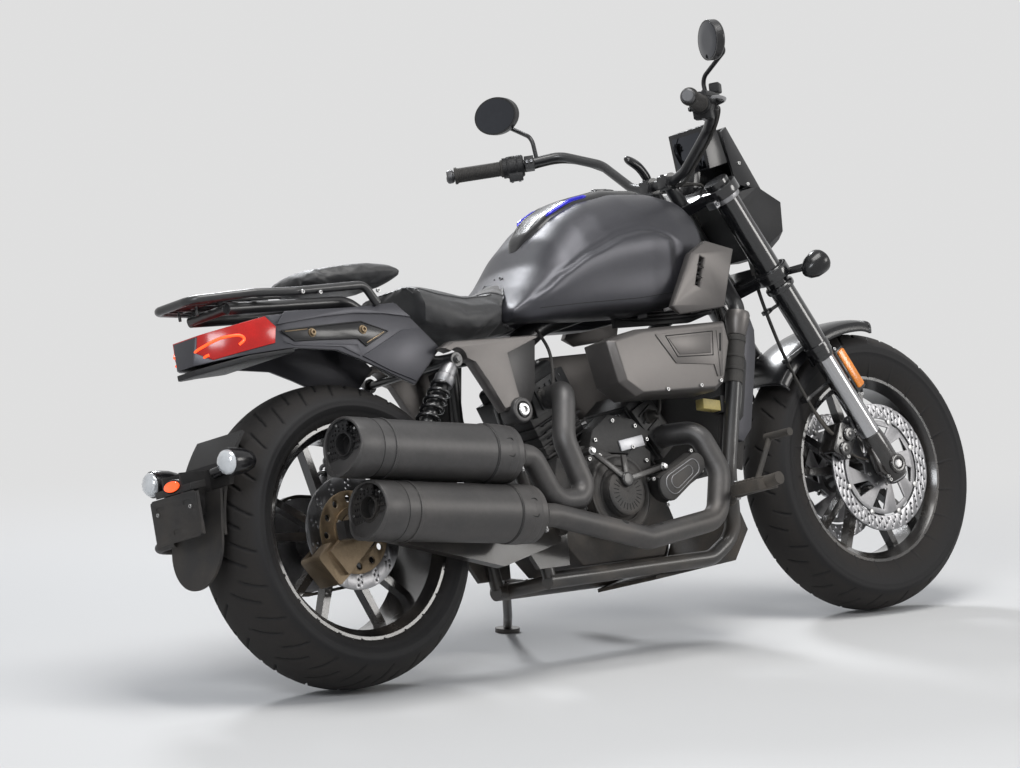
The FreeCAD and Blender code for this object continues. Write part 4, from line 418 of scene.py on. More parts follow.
# Bolt heads for a radius of 1: turns and profile of each part
ROUND_HEAD = ((18, ((1, 0), (1, 0.8), (0.88, 1), (0.52, 1), (0.5, 0.35))),)
SIX_SIDED_HEAD = ((18, ((1.45, 0), (1.45, 0.22), (1.2, 0.34))), (6, ((1.1, 0.3), (1.1, 0.95), (0.9, 1.15))))


class Work:
    """Mesh code of one piece, in millimetres of the upright machine or of a frame set on it."""

    def __init__(self, frame=None, body=None):
        self.mesh = bmesh.new()
        self.frame = frame or Matrix.Identity(4)
        self.body = body or ("fork" if frame is FORK else "chassis")

    def skin(self, rows, round_rows=False, round_loop=True, caps=True):
        """Faces between rows of points, closed round each row and over the ends."""
        made = [[self.mesh.verts.new(self.frame @ Vector(spot)) for spot in row] for row in rows]
        count = len(made[0])
        pairs = list(zip(made, made[1:])) + ([(made[-1], made[0])] if round_rows else [])
        for one, two in pairs:
            for i in range(count if round_loop else count - 1):
                j = (i + 1) % count
                self.mesh.faces.new((one[i], one[j], two[j], two[i]))
        if caps and not round_rows and round_loop:
            self.mesh.faces.new(list(reversed(made[0])))
            self.mesh.faces.new(made[-1])
        return self

    def turned(self, profile, foot, way, turns=32, closed=False):
        """A profile of (radius, height) turned about a line."""
        foot, way = Vector(foot), Vector(way).normalized()
        across = way.orthogonal().normalized()
        along = way.cross(across)
        rows = [[foot + way * height + across * x + along * y for x, y in (polar(radius, a) for a in angles(turns))]
                for radius, height in profile]
        return self.skin(rows, round_rows=closed)

    def ring(self, profile, foot, way, turns=32):
        """A closed profile turned about a line."""
        return self.turned(profile, foot, way, turns, True)

    def rod(self, foot, end, radius, top=None, turns=20):
        """A round bar with softened ends."""
        foot, end = Vector(foot), Vector(end)
        tall = (end - foot).length
        top = radius if top is None else top
        soft = min(radius, top, tall / 2) * 0.25
        profile = ((radius - soft, 0.0), (radius - soft * 0.3, soft * 0.3), (radius, soft),
                   (top, tall - soft), (top - soft * 0.3, tall - soft * 0.3), (top - soft, tall))
        return self.turned(profile, foot, end - foot, turns)

    def pipe(self, path, radius, turns=12, flat=1.0):
        """A tube along a path; radius is a number or one for each point."""
        path = [Vector(spot) for spot in path]
        radii = radius if isinstance(radius, (list, tuple)) else [radius] * len(path)
        ahead = (path[1] - path[0]).normalized()
        across = ahead.orthogonal().normalized()
        rows = []
        for i, spot in enumerate(path):
            before, after = path[max(i - 1, 0)], path[min(i + 1, len(path) - 1)]
            now = (after - before).normalized()
            across = ahead.rotation_difference(now) @ across
            ahead = now
            along = ahead.cross(across)
            rows.append([spot + across * x + along * flat * y for x, y in (polar(radii[i], a) for a in angles(turns))])
        return self.skin(rows)

    def loop(self, path, radius, turns=6):
        """A tube along a path that comes back to its start."""
        return self.pipe(path + path[:1], radius, turns)

    def prism(self, corners, way):
        """A block with these corners, as deep as the vector way."""
        corners, way = [Vector(c) for c in corners], Vector(way)
        return self.skin([corners, [c + way for c in corners]])

    def box(self, x, y, z):
        """A block between two values along each axis."""
        face = at_side(y[0], (x[0], z[0]), (x[1], z[0]), (x[1], z[1]), (x[0], z[1]))
        return self.prism(face, (0, y[1] - y[0], 0))

    def bolt(self, foot, way, radius=5.0, head=ROUND_HEAD):
        """A bolt's head."""
        for turns, profile in head:
            self.turned([(radius * r, radius * h) for r, h in profile], foot, way, turns)
        return self

    def pierced(self, outlines, frame, depth, bevel=0.0):
        """A plate cut from outlines in the x-y plane of a frame, the later ones its holes; z is its depth."""
        data = bpy.data.curves.new("outline", "CURVE")
        data.dimensions = "2D"
        data.fill_mode = "BOTH"
        data.extrude = depth / 2 - bevel
        data.bevel_depth = bevel
        data.offset = -bevel
        data.bevel_resolution = 1
        for outline in outlines:
            line = data.splines.new("POLY")
            line.points.add(len(outline) - 1)
            for point, spot in zip(line.points, outline):
                point.co = (spot[0], spot[1], 0.0, 1.0)
            line.use_cyclic_u = True
        mesh = settled(held("outline", data))
        mesh.transform(self.frame @ frame @ Matrix.Translation((0, 0, depth / 2)))
        self.mesh.from_mesh(mesh)
        bpy.data.meshes.remove(mesh)
        return self

    def mirrored(self):
        """The same shapes again on the other side of the machine."""
        whole = self.mesh.verts[:] + self.mesh.edges[:] + self.mesh.faces[:]
        made = bmesh.ops.duplicate(self.mesh, geom=whole)["geom"]
        for item in made:
            if isinstance(item, bmesh.types.BMVert):
                item.co.y = -item.co.y
        bmesh.ops.reverse_faces(self.mesh, faces=[f for f in made if isinstance(f, bmesh.types.BMFace)])
        return self

    def done(self, name, finish, replaces=(), bevel=0.0, sharp=SHARP):
        bmesh.ops.remove_doubles(self.mesh, verts=self.mesh.verts[:], dist=MERGE)
        bmesh.ops.recalc_face_normals(self.mesh, faces=self.mesh.faces[:])
        mesh = bpy.data.meshes.new(name)
        self.mesh.to_mesh(mesh)
        self.mesh.free()
        mesh.transform(REST[self.body])
        if bevel:
            mesh = softened_edges(name, mesh, bevel)
        return place(name, mesh, finish, self.body, replaces, sharp)


def works(count, frame=None, body=None):
    """Several pieces that are made side by side."""
    return [Work(frame, body) for _ in range(count)]


def softened_edges(name, mesh, width, segments=2):
    """The mesh with its edges rounded, as geometry; width in millimetres."""
    holder = held(name, mesh)
    edge = holder.modifiers.new("edge", "BEVEL")
    edge.width = width * MM
    edge.segments = segments
    edge.limit_method = "ANGLE"
    edge.angle_limit = math.radians(EDGE_ANGLE)
    edge.harden_normals = False
    return settled(holder)


def node_mesh(node):
    """A node's shape as a mesh of its own, with its flat faces joined."""
    mesh = NODES[node].data.copy()
    work = bmesh.new()
    work.from_mesh(mesh)
    bmesh.ops.remove_doubles(work, verts=work.verts[:], dist=NODE_MERGE)
    bmesh.ops.dissolve_limit(work, angle_limit=math.radians(FLAT_ANGLE), verts=work.verts[:], edges=work.edges[:])
    work.to_mesh(mesh)
    work.free()
    return mesh


# Nodes that are shown with rounded edges: the width in millimetres and the steps across it
EDGED = {
    "rear_fender": (2.6, 2), "tail_lip": (1.6, 2), "tail_lamp": (3.5, 2), "front_calipers": (1.2, 2),
    "rear_caliper": (3.0, 2), "headlamp": (4.0, 2), "windscreen": (1.4, 2), "instrument": (5.0, 3),
    "triple_clamps": (2.2, 2), "airbox_covers": (5.0, 3), "side_covers": (4.0, 3), "radiator": (1.6, 2),
    "belly_pan": (3.0, 2), "engine_case": (3.0, 2), "engine_covers": (2.6, 2), "cylinder_front": (1.2, 2),
    "cylinder_rear": (1.2, 2),
}
EDGED_FINISH = {"tail_lamp": "dark_red"}


def make_edged_nodes():
    for node, (width, segments) in EDGED.items():
        mesh = softened_edges(node, node_mesh(node), width, segments)
        place(node + "_edged", mesh, EDGED_FINISH.get(node, SLOT[node]), BODY_OF[node], (node,))


def dress_nodes():
    for node, name in SLOT.items():
        NODES[node].data.materials.clear()
        NODES[node].data.materials.append(FINISHES[name].material)


# Laying small parts on larger ones


def surface_tree(mesh, body):
    """The mesh as a search tree, in millimetres of the upright machine."""
    back = REST[body].inverted()
    return BVHTree.FromPolygons([back @ v.co for v in mesh.vertices], [tuple(f.vertices) for f in mesh.polygons])


def tree_of(*nodes):
    """The nodes' shapes as one search tree."""
    spots, faces = [], []
    for node in nodes:
        back = REST[BODY_OF[node]].inverted()
        first = len(spots)
        spots += [back @ v.co for v in NODES[node].data.vertices]
        faces += [tuple(first + i for i in f.vertices) for f in NODES[node].data.polygons]
    return BVHTree.FromPolygons(spots, faces)


def laid(tree, spots, way, lift=0.0):
    """Points dropped along a way onto a surface and lifted off it."""
    way = Vector(way).normalized()
    made = []
    for spot in spots:
        hit, normal, _, _ = tree.ray_cast(Vector(spot) - way * 200, way)
        if hit is None:
            hit, normal, _, _ = tree.find_nearest(Vector(spot))
        made.append(hit + normal * lift)
    return made


def patch(work, tree, middle, across, along, way, lift, square=False):
    """A thin cover laid on a surface: an oval, or a square with round corners, of half-sizes across and along."""
    middle, across, along = Vector(middle), Vector(across), Vector(along)
    rows = []
    for k in (1, 2, 3):
        ring = []
        for c, s in (polar(1.0, a) for a in angles(20)):
            if square:
                c, s = math.copysign(abs(c) ** 0.35, c), math.copysign(abs(s) ** 0.35, s)
            ring.append(middle + (across * c + along * s) * k / 3)
        rows.append(laid(tree, ring, way, lift if k < 3 else -lift))
    return work.skin(rows)


def on_tube(foot, way, height, radius, degrees):
    """A point on a tube: degrees are 0 to the machine's right and 90 up."""
    out = (RIGHT - way * RIGHT.dot(way)).normalized()
    up = way.cross(out)
    if up.z < 0:
        up = -up
    x, y = polar(radius, math.radians(degrees))
    return foot + way * height + out * x + up * y


# Wheels

TYRE_TURNS = 1080
TREAD_DEPTH = 4.5
TREAD_SLANT = 0.72
REAR_WALL = ((100, 264), (99.6, 258.5), (99.9, 257.5), (99.9, 255), (99.0, 254), (97.8, 247.5), (96.6, 246.5),
             (94.5, 240), (90.5, 234), (86.5, 229.5), (81.7, 226.6))
FRONT_WALL = ((71, 282), (70.6, 275.5), (70.9, 274.5), (70.7, 272), (69.8, 271), (68.0, 262), (65.0, 252),
              (61.0, 242), (57.0, 233), (53.5, 226), (49.7, 219.6))
TYRES = (
    # node, axle, radius at the crown and shoulder, half width, tread's steps and power, wall down to the bead,
    # cuts round the tyre, cuts' (phase, from, to, half width)
    ("rear_tyre", REAR_AXLE, 315, 268, 100, 32, 2.6, REAR_WALL, 24, ((0.0, 10, 70, 2.3), (0.5, 42, 90, 2.3))),
    ("front_tyre", FRONT_AXLE, 325, 287.5, 71, 30, 2.4, FRONT_WALL, 22, ((0.0, 8, 48, 2.1), (0.5, 30, 64, 2.1))),
)


def clamped(value):
    return min(1.0, max(0.0, value))


def cut_share(along, side, pitch, cuts):
    """How deep a point of the tread lies in its slits, from 0 to 1."""
    across = abs(side)
    start = pitch * 0.25 if side > 0 else 0.0
    most = 0.0
    for phase, low, high, wide in cuts:
        away = (along - across * TREAD_SLANT - phase * pitch - start + pitch / 2) % pitch - pitch / 2
        inside = clamped(min(across - low, high - across) / 4.0)
        most = max(most, clamped(1.5 - abs(away) * 0.85 / wide) * inside)
    return most


def make_tyre(node, axle, crown, shoulder, half, steps, power, wall, pitches, cuts):
    """A tyre whose tread is cut by slits, painted with the share of road dust on its points, with less of it in the
    slits as painted shade.
    """
    shares = [k / steps for k in range(steps + 1)]
    right = [(half * share, crown - (crown - shoulder) * share ** power) for share in shares] + list(wall)
    section = [(-y, r) for y, r in reversed(right[1:])] + right
    pitch = math.tau * crown / pitches
    spots, dust = [], []
    for angle in angles(TYRE_TURNS):
        for side, radius in section:
            cut = cut_share(angle * crown, side, pitch, cuts)
            spots.append(about(axle, radius - TREAD_DEPTH * cut, angle, side))
            worn = clamped((half * 0.97 - abs(side)) / (half * 0.14))
            # Dust share on the tread, lowered by the depth of the slits: painted shade in the grooves
            dust.append((0.22 + 0.78 * worn) * (1.0 - 0.75 * cut))
    count = len(section)
    faces = []
    for i in range(TYRE_TURNS):
        one, two = i * count, (i + 1) % TYRE_TURNS * count
        for j in range(count):
            k = (j + 1) % count
            faces.append((one + j, two + j, two + k, one + k))
    mesh = bpy.data.meshes.new(node + "_treaded")
    mesh.from_pydata(spots, [], faces)
    mesh.attributes.new("dust", "FLOAT", "POINT").data.foreach_set("value", dust)
    mesh.transform(REST[BODY_OF[node]])
    mesh.update()
    place(node + "_treaded", mesh, "tyre", BODY_OF[node], (node,), 50.0)


def make_tyres():
    for row in TYRES:
        make_tyre(*row)


FRONT_DISC_SIDES = (-79, 79)
REAR_DISC_SIDE = -57.5
WINDOWS = 8
WINDOW_FROM, WINDOW_TO = 52, 99
WINDOW_WIDE, WINDOW_SWEEP = 26, 16


def wheel_face(axle, side):
    """The plane of a wheel at a distance to its side."""
    return basis((0, 0, 1), (1, 0, 0), (0, 1, 0), axle + SIDE * side)


def slanted_windows():
    made = []
    for at in angles(WINDOWS):
        corners = []
        for radius, share, lean in ((WINDOW_FROM, -1, 0), (WINDOW_TO, -1, 1), (WINDOW_TO, 1, 1), (WINDOW_FROM, 1, 0)):
            wide = share * WINDOW_WIDE / 2 * (WINDOW_FROM / radius) ** 0.4
            corners.append(polar(radius, at + math.radians(wide + lean * WINDOW_SWEEP)))
        made.append(corners)
    return made


def make_front_discs():
    band, carrier, button = works(3, body="front_wheel")
    for side in FRONT_DISC_SIDES:
        out = 1 if side > 0 else -1
        holes = [circle(2.9, 8, *polar(radius, math.radians(i * 10 + row * 3.4)))
                 for i in range(36) for row, radius in enumerate((122, 131.5, 141))]
        edge = [polar(147.4 if i % 12 == 0 else 149, a) for i, a in enumerate(angles(144))]
        band.pierced([edge, circle(114.5, 96)] + holes, wheel_face(FRONT_AXLE, side - 2.1), 4.2, 0.4)
        outlines = [circle(110, 96), circle(21, 32)] + slanted_windows()
        carrier.pierced(outlines, wheel_face(FRONT_AXLE, side - 2.2), 4.4, 0.8)
        for a in angles(8, 0.42):
            spot = about(FRONT_AXLE, 112.5, a, side)
            button.rod(spot - SIDE * 4.2, spot + SIDE * 4.2, 7.2, turns=16)
            button.bolt(about(FRONT_AXLE, 42, a, side + out * 2), SIDE * out, 4.5)
    band.done("front_disc_bands", "disc_steel", ("front_discs",))
    carrier.done("front_disc_carriers", "alloy", ("front_discs",))
    button.done("front_disc_buttons", "steel")


def make_rear_disc():
    plate, carrier, bolts = works(3, body="rear_wheel")
    holes = [circle(2.8, 8, *polar(radius, math.radians(i * 360 / 14 + lean)))
             for i in range(14) for radius, lean in ((92, 0.0), (98, 5.0), (104, 0.5), (110, 5.5))]
    plate.pierced([circle(119, 120), circle(86, 96)] + holes, wheel_face(REAR_AXLE, REAR_DISC_SIDE), 5, 0.4)
    plate.done("rear_disc_band", "disc_steel", ("rear_disc",))
    ports = [circle(7.2, 20, *polar(70, a)) for a in angles(12)]
    carrier.pierced([circle(87, 96), circle(40.3, 48)] + ports, wheel_face(REAR_AXLE, REAR_DISC_SIDE - 0.3), 5.6, 0.8)
    carrier.ring(((41, 0), (41, 8), (51, 8), (53, 5), (53, 0)), REAR_AXLE - SIDE * 66, SIDE, 48)
    carrier.done("rear_disc_carrier", "bronze", ("rear_disc",))
    for a in angles(6, 0.5):
        bolts.bolt(about(REAR_AXLE, 46, a, -65.5), RIGHT, 4.2)
    bolts.done("rear_disc_bolts", "steel")


GUARD_HALF = ((82, 321), (82.5, 333), (79, 343), (68, 349), (50, 353), (26, 356), (0, 357))
GUARD_FROM, GUARD_SWEEP = 83, 58
GUARD_ROWS = 48


def make_front_fender():
    section = list(GUARD_HALF) + [(-y, r) for y, r in reversed(GUARD_HALF[:-1])]
    inner = [(y * 0.955, r - 3.6) for y, r in reversed(section[1:-1])]
    outline = section + [(-78.6, 321)] + inner + [(78.6, 321)]
    guard, bolts = Work(body="fork"), Work(FORK)
    rows = []
    for share in (i / GUARD_ROWS for i in range(GUARD_ROWS + 1)):
        angle = math.radians(GUARD_FROM + GUARD_SWEEP * share)
        lift = 5.0 * max(0.0, 1 - share / 0.10) ** 2
        rows.append([about(FRONT_AXLE, r - lift, angle, y) for y, r in outline])
    guard.skin(rows)
    for degrees in (GUARD_FROM + 0.2, GUARD_FROM + GUARD_SWEEP - 0.2):
        path = [about(FRONT_AXLE, r - 4.5, math.radians(degrees), y * 0.985) for y, r in section]
        guard.pipe(spline(path, 4), 3.8, 10)
    for side in (1, -1):
        tab = at_side(side * 82, (-20, 297), (20, 297), (16, 326), (-16, 326))
        guard.prism([FORK @ Vector(c) for c in tab], SIDE * side * 8.5)
        for ahead in (-11, 11):
            bolts.bolt((ahead, side * 90, 305), SIDE * side, 3.6)
    guard.done("front_guard", "plastic_gloss", ("front_fender",), bevel=0.6)
    bolts.done("front_guard_bolts", "steel")


# Seats

CLOTH_FRAMES = 20
CLOTH_PRESSURE = 4.0
CLOTH_BENDING = 2.0
CLOTH_QUALITY = 5
COVER_FINENESS = 5.0
PANEL_MIDDLE, PANEL_WAY = Vector((492, 0, 800)), (0.45, 0.0, -0.9)
RIDER_WELT = ((205, 96), (260, 104), (330, 98), (400, 84), (450, 74))
PILLION_WELT = ((-110, 52), (-60, 74), (20, 84), (110, 82), (126, 60), (130, 0))
ABOVE = 900


def remeshed(mesh, passes):
    """The mesh in even faces, smoothed."""
    holder = held("even", mesh)
    grid = holder.modifiers.new("grid", "REMESH")
    grid.mode = "VOXEL"
    grid.voxel_size = COVER_FINENESS * MM
    ease = holder.modifiers.new("ease", "SMOOTH")
    ease.iterations = passes
    ease.factor = 0.5
    return settled(holder)


def moved(mesh, distance):
    """The mesh with its points moved outward by millimetres."""
    for vertex, normal in [(v, v.normal.copy()) for v in mesh.vertices]:
        vertex.co += normal * distance * MM
    return mesh


def swollen(mesh, cap):
    """A pad's cover blown up from inside, each point moving by at most cap millimetres."""
    holder = held("cover", mesh)
    start = [v.co.copy() for v in mesh.vertices]
    cloth = holder.modifiers.new("cover", "CLOTH")
    cloth.settings.use_pressure = True
    cloth.settings.uniform_pressure_force = CLOTH_PRESSURE
    cloth.settings.effector_weights.gravity = 0.0
    cloth.settings.quality = CLOTH_QUALITY
    cloth.settings.bending_stiffness = CLOTH_BENDING
    cloth.point_cache.frame_start = 1
    cloth.point_cache.frame_end = CLOTH_FRAMES
    for number in range(1, CLOTH_FRAMES + 1):
        bpy.context.scene.frame_set(number)
    made = settled(holder)
    for vertex, before in zip(made.vertices, start):
        move = vertex.co - before
        if move.length > cap * MM:
            vertex.co = before + move.normalized() * cap * MM
    bpy.context.scene.frame_set(1)
    return made


def cushion(node, cap, inward):
    """A padded cover in a node's place: a slightly smaller shape swollen under pressure."""
    mesh = moved(remeshed(NODES[node].data.copy(), 8), -inward)
    holder = held("cover", swollen(mesh, cap))
    holder.modifiers.new("ease", "SMOOTH").iterations = 4
    holder.modifiers.new("fine", "SUBSURF").levels = 1
    made = settled(holder)
    place(node + "_cover", made, "seat", BODY_OF[node], (node,), SHARP_SOFT)
    return surface_tree(made, BODY_OF[node])


def make_seats():
    rider, pillion = cushion("rider_seat", 9.0, 7.0), cushion("pillion_seat", 8.0, 6.0)
    panel, welt = works(2)
    rows = []
    for k in range(1, 11):
        rim = [PANEL_MIDDLE + Vector((c * 50 * k / 10, s * 84 * k / 10, c * 24 * k / 10))
               for c, s in (polar(1.0, a) for a in angles(48))]
        rows.append(laid(rider, rim, PANEL_WAY, 1.8 if k < 10 else -0.6))
    panel.skin(rows).done("rider_seat_panel", "suede")
    welt.loop(laid(rider, rim, PANEL_WAY, 0.9), 1.9, 8)
    for side in (1, -1):
        for tree, line in ((rider, RIDER_WELT), (pillion, PILLION_WELT)):
            path = spline([(x, side * y, ABOVE) for x, y in line])
            welt.pipe(laid(tree, path, -UP, 0.4), 1.6, 8)
    welt.done("seat_welts", "seat")


# Tank and its console

TANK_CREASE = ((470, 742), (530, 783), (591, 817), (678, 855), (782, 889), (830, 896), (869, 895), (915, 878),
               (960, 846))
TANK_SEAM = ((500, 738), (640, 742), (800, 744), (980, 756))
CREASE_RISE, SCOOP_DEPTH = 1.6, 9.0
CONSOLE_HALVES = ((600, 14), (620, 34), (650, 52), (690, 64), (740, 74), (800, 78), (870, 74), (935, 64), (985, 46),
                  (1010, 26), (1022, 12))
CONSOLE_RISE = 13.0
ABOVE_TANK = 1100
CAP_PROFILE = ((34, -6), (35, 0), (34, 2.5), (29, 3.2), (28, 1.5), (24, 1.5), (23, 5), (20, 6.5), (0.5, 7))


def eased(value, low=0.0, high=1.0):
    share = clamped((value - low) / (high - low))
    return share * share * (3 - 2 * share)


def along_line(points, x):
    """The height of a broken line over x, with its corners eased a little."""
    for (x0, z0), (x1, z1) in zip(points, points[1:]):
        if x <= x1:
            share = max(0.0, (x - x0) / (x1 - x0))
            return z0 + (z1 - z0) * (eased(share) * 0.35 + share * 0.65)
    return points[-1][1]


def creased(spot):
    """How far a point of the tank's flank moves out for the crease and the scoop below it."""
    below = along_line(TANK_CREASE, spot.x) - spot.z
    scoop = eased(below, 0, 15) * (1 - eased(below, 24, 150))
    scoop *= eased(spot.x, 480, 560) * (1 - eased(spot.x, 900, 930))
    ridge = math.exp(-((below + 7) / 9) ** 2) * eased(spot.x, 470, 540) * (1 - eased(spot.x, 930, 990))
    return CREASE_RISE * ridge - SCOOP_DEPTH * scoop


def make_tank():
    mesh = remeshed(NODES["fuel_tank"].data.copy(), 26)
    there, back = REST["chassis"], REST["chassis"].inverted()
    for vertex in mesh.vertices:
        spot = back @ vertex.co
        if abs(spot.y) >= 55:
            spot.y += math.copysign(creased(spot), spot.y)
            vertex.co = there @ spot
    place("tank_shell", mesh, "grey_matte", "chassis", ("fuel_tank",), SHARP_SOFT)
    skin = surface_tree(mesh, "chassis")
    seam = Work()
    for side in (1, -1):
        path = [(x, side * 168, along_line(TANK_SEAM, x)) for x in range(520, 985, 15)]
        seam.pipe(laid(skin, path, SIDE * -side, -0.6), 1.1, 6)
    seam.done("tank_seams", "dark_seam_and_hollow_shade")
    make_console(skin)


def make_console(skin):
    """The console laid on the tank's skin, its strips and the filler's cap."""
    console, strip, rim = works(3)
    rows = []
    for x in range(600, 1021, 10):
        half = along_line(CONSOLE_HALVES, x)
        row = []
        for share in (-1 + k / 12 for k in range(25)):
            spot = laid(skin, [(x, share * half, ABOVE_TANK)], -UP)[0]
            rise = CONSOLE_RISE * (1 - abs(share) ** 5) * min(1.0, (x - 596) / 24, (1024 - x) / 24)
            row.append(spot + Vector((0, share * 0.35, 1)).normalized() * (rise - 1.5))
        rows.append(row)
    console.skin(rows, round_loop=False, caps=False)
    piece = console.done("console_shell", "plastic_gloss", ("tank_console",), sharp=SHARP_SOFT)
    tree = surface_tree(piece.data, "chassis")

    def line(steps, share, lift):
        return laid(tree, [(x, share * along_line(CONSOLE_HALVES, x), ABOVE_TANK) for x in steps], -UP, lift)

    for side in (1, -1):
        path = line(range(672, 790, 4), side * 0.82, 0.6)
        strip.pipe(path, [1.5, 3.5] + [5.5] * (len(path) - 4) + [3.5, 1.5], 12, 0.8)
        rim.pipe(line(range(640, 850, 6), side * 0.55, 0.2), 0.9, 6)
    strip.done("console_strips", "blue_strip")
    cap = laid(tree, [(890, 0, ABOVE_TANK)], -UP)[0]
    way = Vector((0.05, 0, 1)).normalized()
    rim.turned(CAP_PROFILE, cap, way, 48)
    rim.prism([cap + way * 6.6 + Vector(c) for c in ((-19, -5, 0), (19, -5, 0), (19, 5, 0), (-19, 5, 0))], way * 3.5)
    rim.done("filler_cap", "plastic_gloss", bevel=0.5)


# Silencers and headers

SILENCERS = (((-150, -232, 470), (284, -214, 424)), ((-114, -232, 339), (320, -214, 295)))
TAIL_SLEEVE = ((53, 9), (55, -1.5), (58, -3), (61, -1.5), (61.9, 2), (61.9, 54), (61.2, 56), (60, 56), (60, 20),
               (54, 12))
TAIL_SEAM = ((60.4, 56.4), (61.3, 57), (61.3, 58.6), (60.4, 59))
# Measured back from the silencer's front end
FRONT_SLEEVE = ((60, -70), (61.6, -69), (62.0, -67), (62.0, -18), (60.6, -12), (58, -8), (57, -30))
FRONT_NECK = ((44, -12), (46, -4), (44, 6), (37, 8), (34, 4), (34, -10))
FRONT_SEAM = ((60.4, -74), (61.3, -73), (61.3, -70.5), (60.4, -69.5))
SLEEVE_SLOTS = (((-46, 20), (-28, 20), (-28, -12), (-46, -12)), ((-46, 118), (-28, 118), (-28, 92), (-46, 92)))
CLAMP_PROFILE = ((36.5, -3), (38.5, -3), (39, 0), (39, 9), (38.5, 12), (36.5, 12))
GRILLE_ROWS = ((30, 14), (37, 18), (44, 22))


def make_silencers():
    sleeves, dark, bolts, grille, slots = works(5)
    for rear, front in SILENCERS:
        rear, front = Vector(rear), Vector(front)
        way = (front - rear).normalized()
        down = way.cross(SIDE).normalized()
        sleeves.ring(TAIL_SLEEVE, rear, way, 64)
        sleeves.ring(FRONT_SLEEVE, front, way, 64)
        sleeves.ring(FRONT_NECK, front, way, 48)
        dark.ring(FRONT_SEAM, front, way, 64)
        dark.ring(TAIL_SEAM, rear, way, 64)
        # The sleeve's slots are drawn as near-black lines: painted shade
        for slot in SLEEVE_SLOTS:
            dark.pipe(spline([on_tube(front, way, height, 61.8, degrees) for height, degrees in slot], 6), 1.3, 6)
        ports = [circle(2.3, 8, *polar(radius, a)) for radius, count in GRILLE_ROWS for a in angles(count)]
        face = basis(down, -way.cross(down), way, rear + way * 3)
        grille.pierced([circle(54.5, 64), circle(22, 32, 6, 0)] + ports, face, 2.4, 0.3)
        grille.ring(((22, -1), (24.5, -1), (25, 1), (25, 20), (22, 20)), rear + down * 6, way, 40)
        for x, y in (polar(50, a) for a in angles(5, 0.3)):
            bolts.bolt(rear + way * 3 + down * x + SIDE * y, -way, 2.8)
        clamp = front + way * 6
        bolts.ring(CLAMP_PROFILE, clamp, way, 40)
        lug = on_tube(clamp, way, 4, 42, -35)
        bolts.rod(lug - Vector((0, 5, 14)), lug + Vector((0, 5, 14)), 3.4)
        bolts.bolt(lug + Vector((0, -3, -14)), (0, -0.3, -1), 4.0, SIX_SIDED_HEAD)
    tree = tree_of("header_front", "header_rear")
    # Near-black ovals laid on the headers where the shield's holes are: painted shade
    for x in (585, 640, 695):
        patch(slots, tree, (x, -205, 244), (11, 0, 0), (0, 6.5, 6.5), (0, 0.75, -0.66), 0.5)
    sleeves.done("silencer_sleeves", "exhaust", sharp=40)
    grille.done("silencer_grilles", "plastic_black")
    dark.done("silencer_seams_and_slot_shade", "dark_seam_and_hollow_shade")
    bolts.done("silencer_clamps", "steel")
    slots.done("header_hole_shade", "dark_seam_and_hollow_shade")


# Shocks

SHOCK_SIDES = (-130, 162)
SHOCK_EYE = ((8.5, -14), (15, -14), (16, -12.5), (16, 12.5), (15, 14), (8.5, 14))
# Radius, and height as a share of the shock's length
TOP_CAN = ((1, 0.80), (20, 0.80), (22, 0.815), (22, 0.86), (18.5, 0.87), (18.5, 0.93), (14, 0.965), (1, 0.965))
LOW_CAN = ((1, 0.10), (15, 0.10), (18, 0.13), (24, 0.19), (24, 0.215), (16, 0.225), (15.5, 0.26), (1, 0.26))
SPRING_TURNS, SPRING_STEPS = 8.6, 24


def make_shocks():
    cans, springs, rods = works(3)
    for side in SHOCK_SIDES:
        low, top = Vector((62, side, 392)), Vector((262, side, 642))
        out = -1 if side < 0 else 1
        long = (top - low).length
        way = (top - low).normalized()
        across = way.orthogonal().normalized()
        along = way.cross(across)
        rods.rod(low, top, 9)
        for end in (low, top):
            rods.ring(SHOCK_EYE, end, SIDE, 28)
            rods.bolt(end + SIDE * 14 * out, SIDE * out, 6.5, SIX_SIDED_HEAD)
        for can in (TOP_CAN, LOW_CAN):
            cans.turned([(radius, share * long) for radius, share in can], low, way, 36)
        rods.rod(low + way * long * 0.25, low + way * long * 0.80, 14)
        count = int(SPRING_TURNS * SPRING_STEPS)
        path = []
        for k in range(count + 1):
            share = k / (SPRING_TURNS * SPRING_STEPS)
            x, y = polar(21.2, math.tau * k / SPRING_STEPS)
            height = 0.228 + 0.565 * (share - 0.018 * math.sin(math.tau * share))
            path.append(low + way * long * height + across * x + along * y)
        springs.pipe(path, 4.3, 10)
    cans.done("shock_cans", "alloy", ("shocks",))
    springs.done("shock_springs", "black_gloss", ("shocks",), sharp=SHARP_SOFT)
    rods.done("shock_bodies", "black_frame", ("shocks",))


# Tail and rack

TAIL_WALL = -118.2
TAIL_INSET = ((-166, 731), (-60, 736), (42, 739), (110, 715), (46, 688), (28, 705), (-60, 708), (-136, 709))
TAIL_FACET = ((32, 667), (150, 717), (196, 716), (239, 674), (163, 606), (98, 633))
TAIL_LEDGE = ((-150, 771), (24, 770), (138, 774), (178, 742), (110, 752), (30, 757), (-60, 754), (-176, 744))
TAIL_SKIRT = ((-172, 712), (-140, 702), (-58, 699), (26, 692), (26, 668), (-18, 690), (-138, 699))
TAIL_FOLDS = ((TAIL_FACET, 3.2), (TAIL_LEDGE, 2.4), (TAIL_SKIRT, 2.0))
INSET_LINES = (((49, 694), (98, 714), 1.3), ((-158, 729), (-100, 731), 1.2))
LIGHT_TUBE = ((-258, 95, 713), (-247, 100, 722), (-256, 96, 732), (-284, 74, 732), (-308, 54, 723), (-322, 30, 712),
              (-320, 32, 699), (-306, 55, 702))
SLAT = ((-128, 1.25, 806), (-200, 1.05, 809), (-268, 0.85, 812), (-320, 0.62, 812))
SLAT_SIDES = (70, 35, 0, -35, -70)


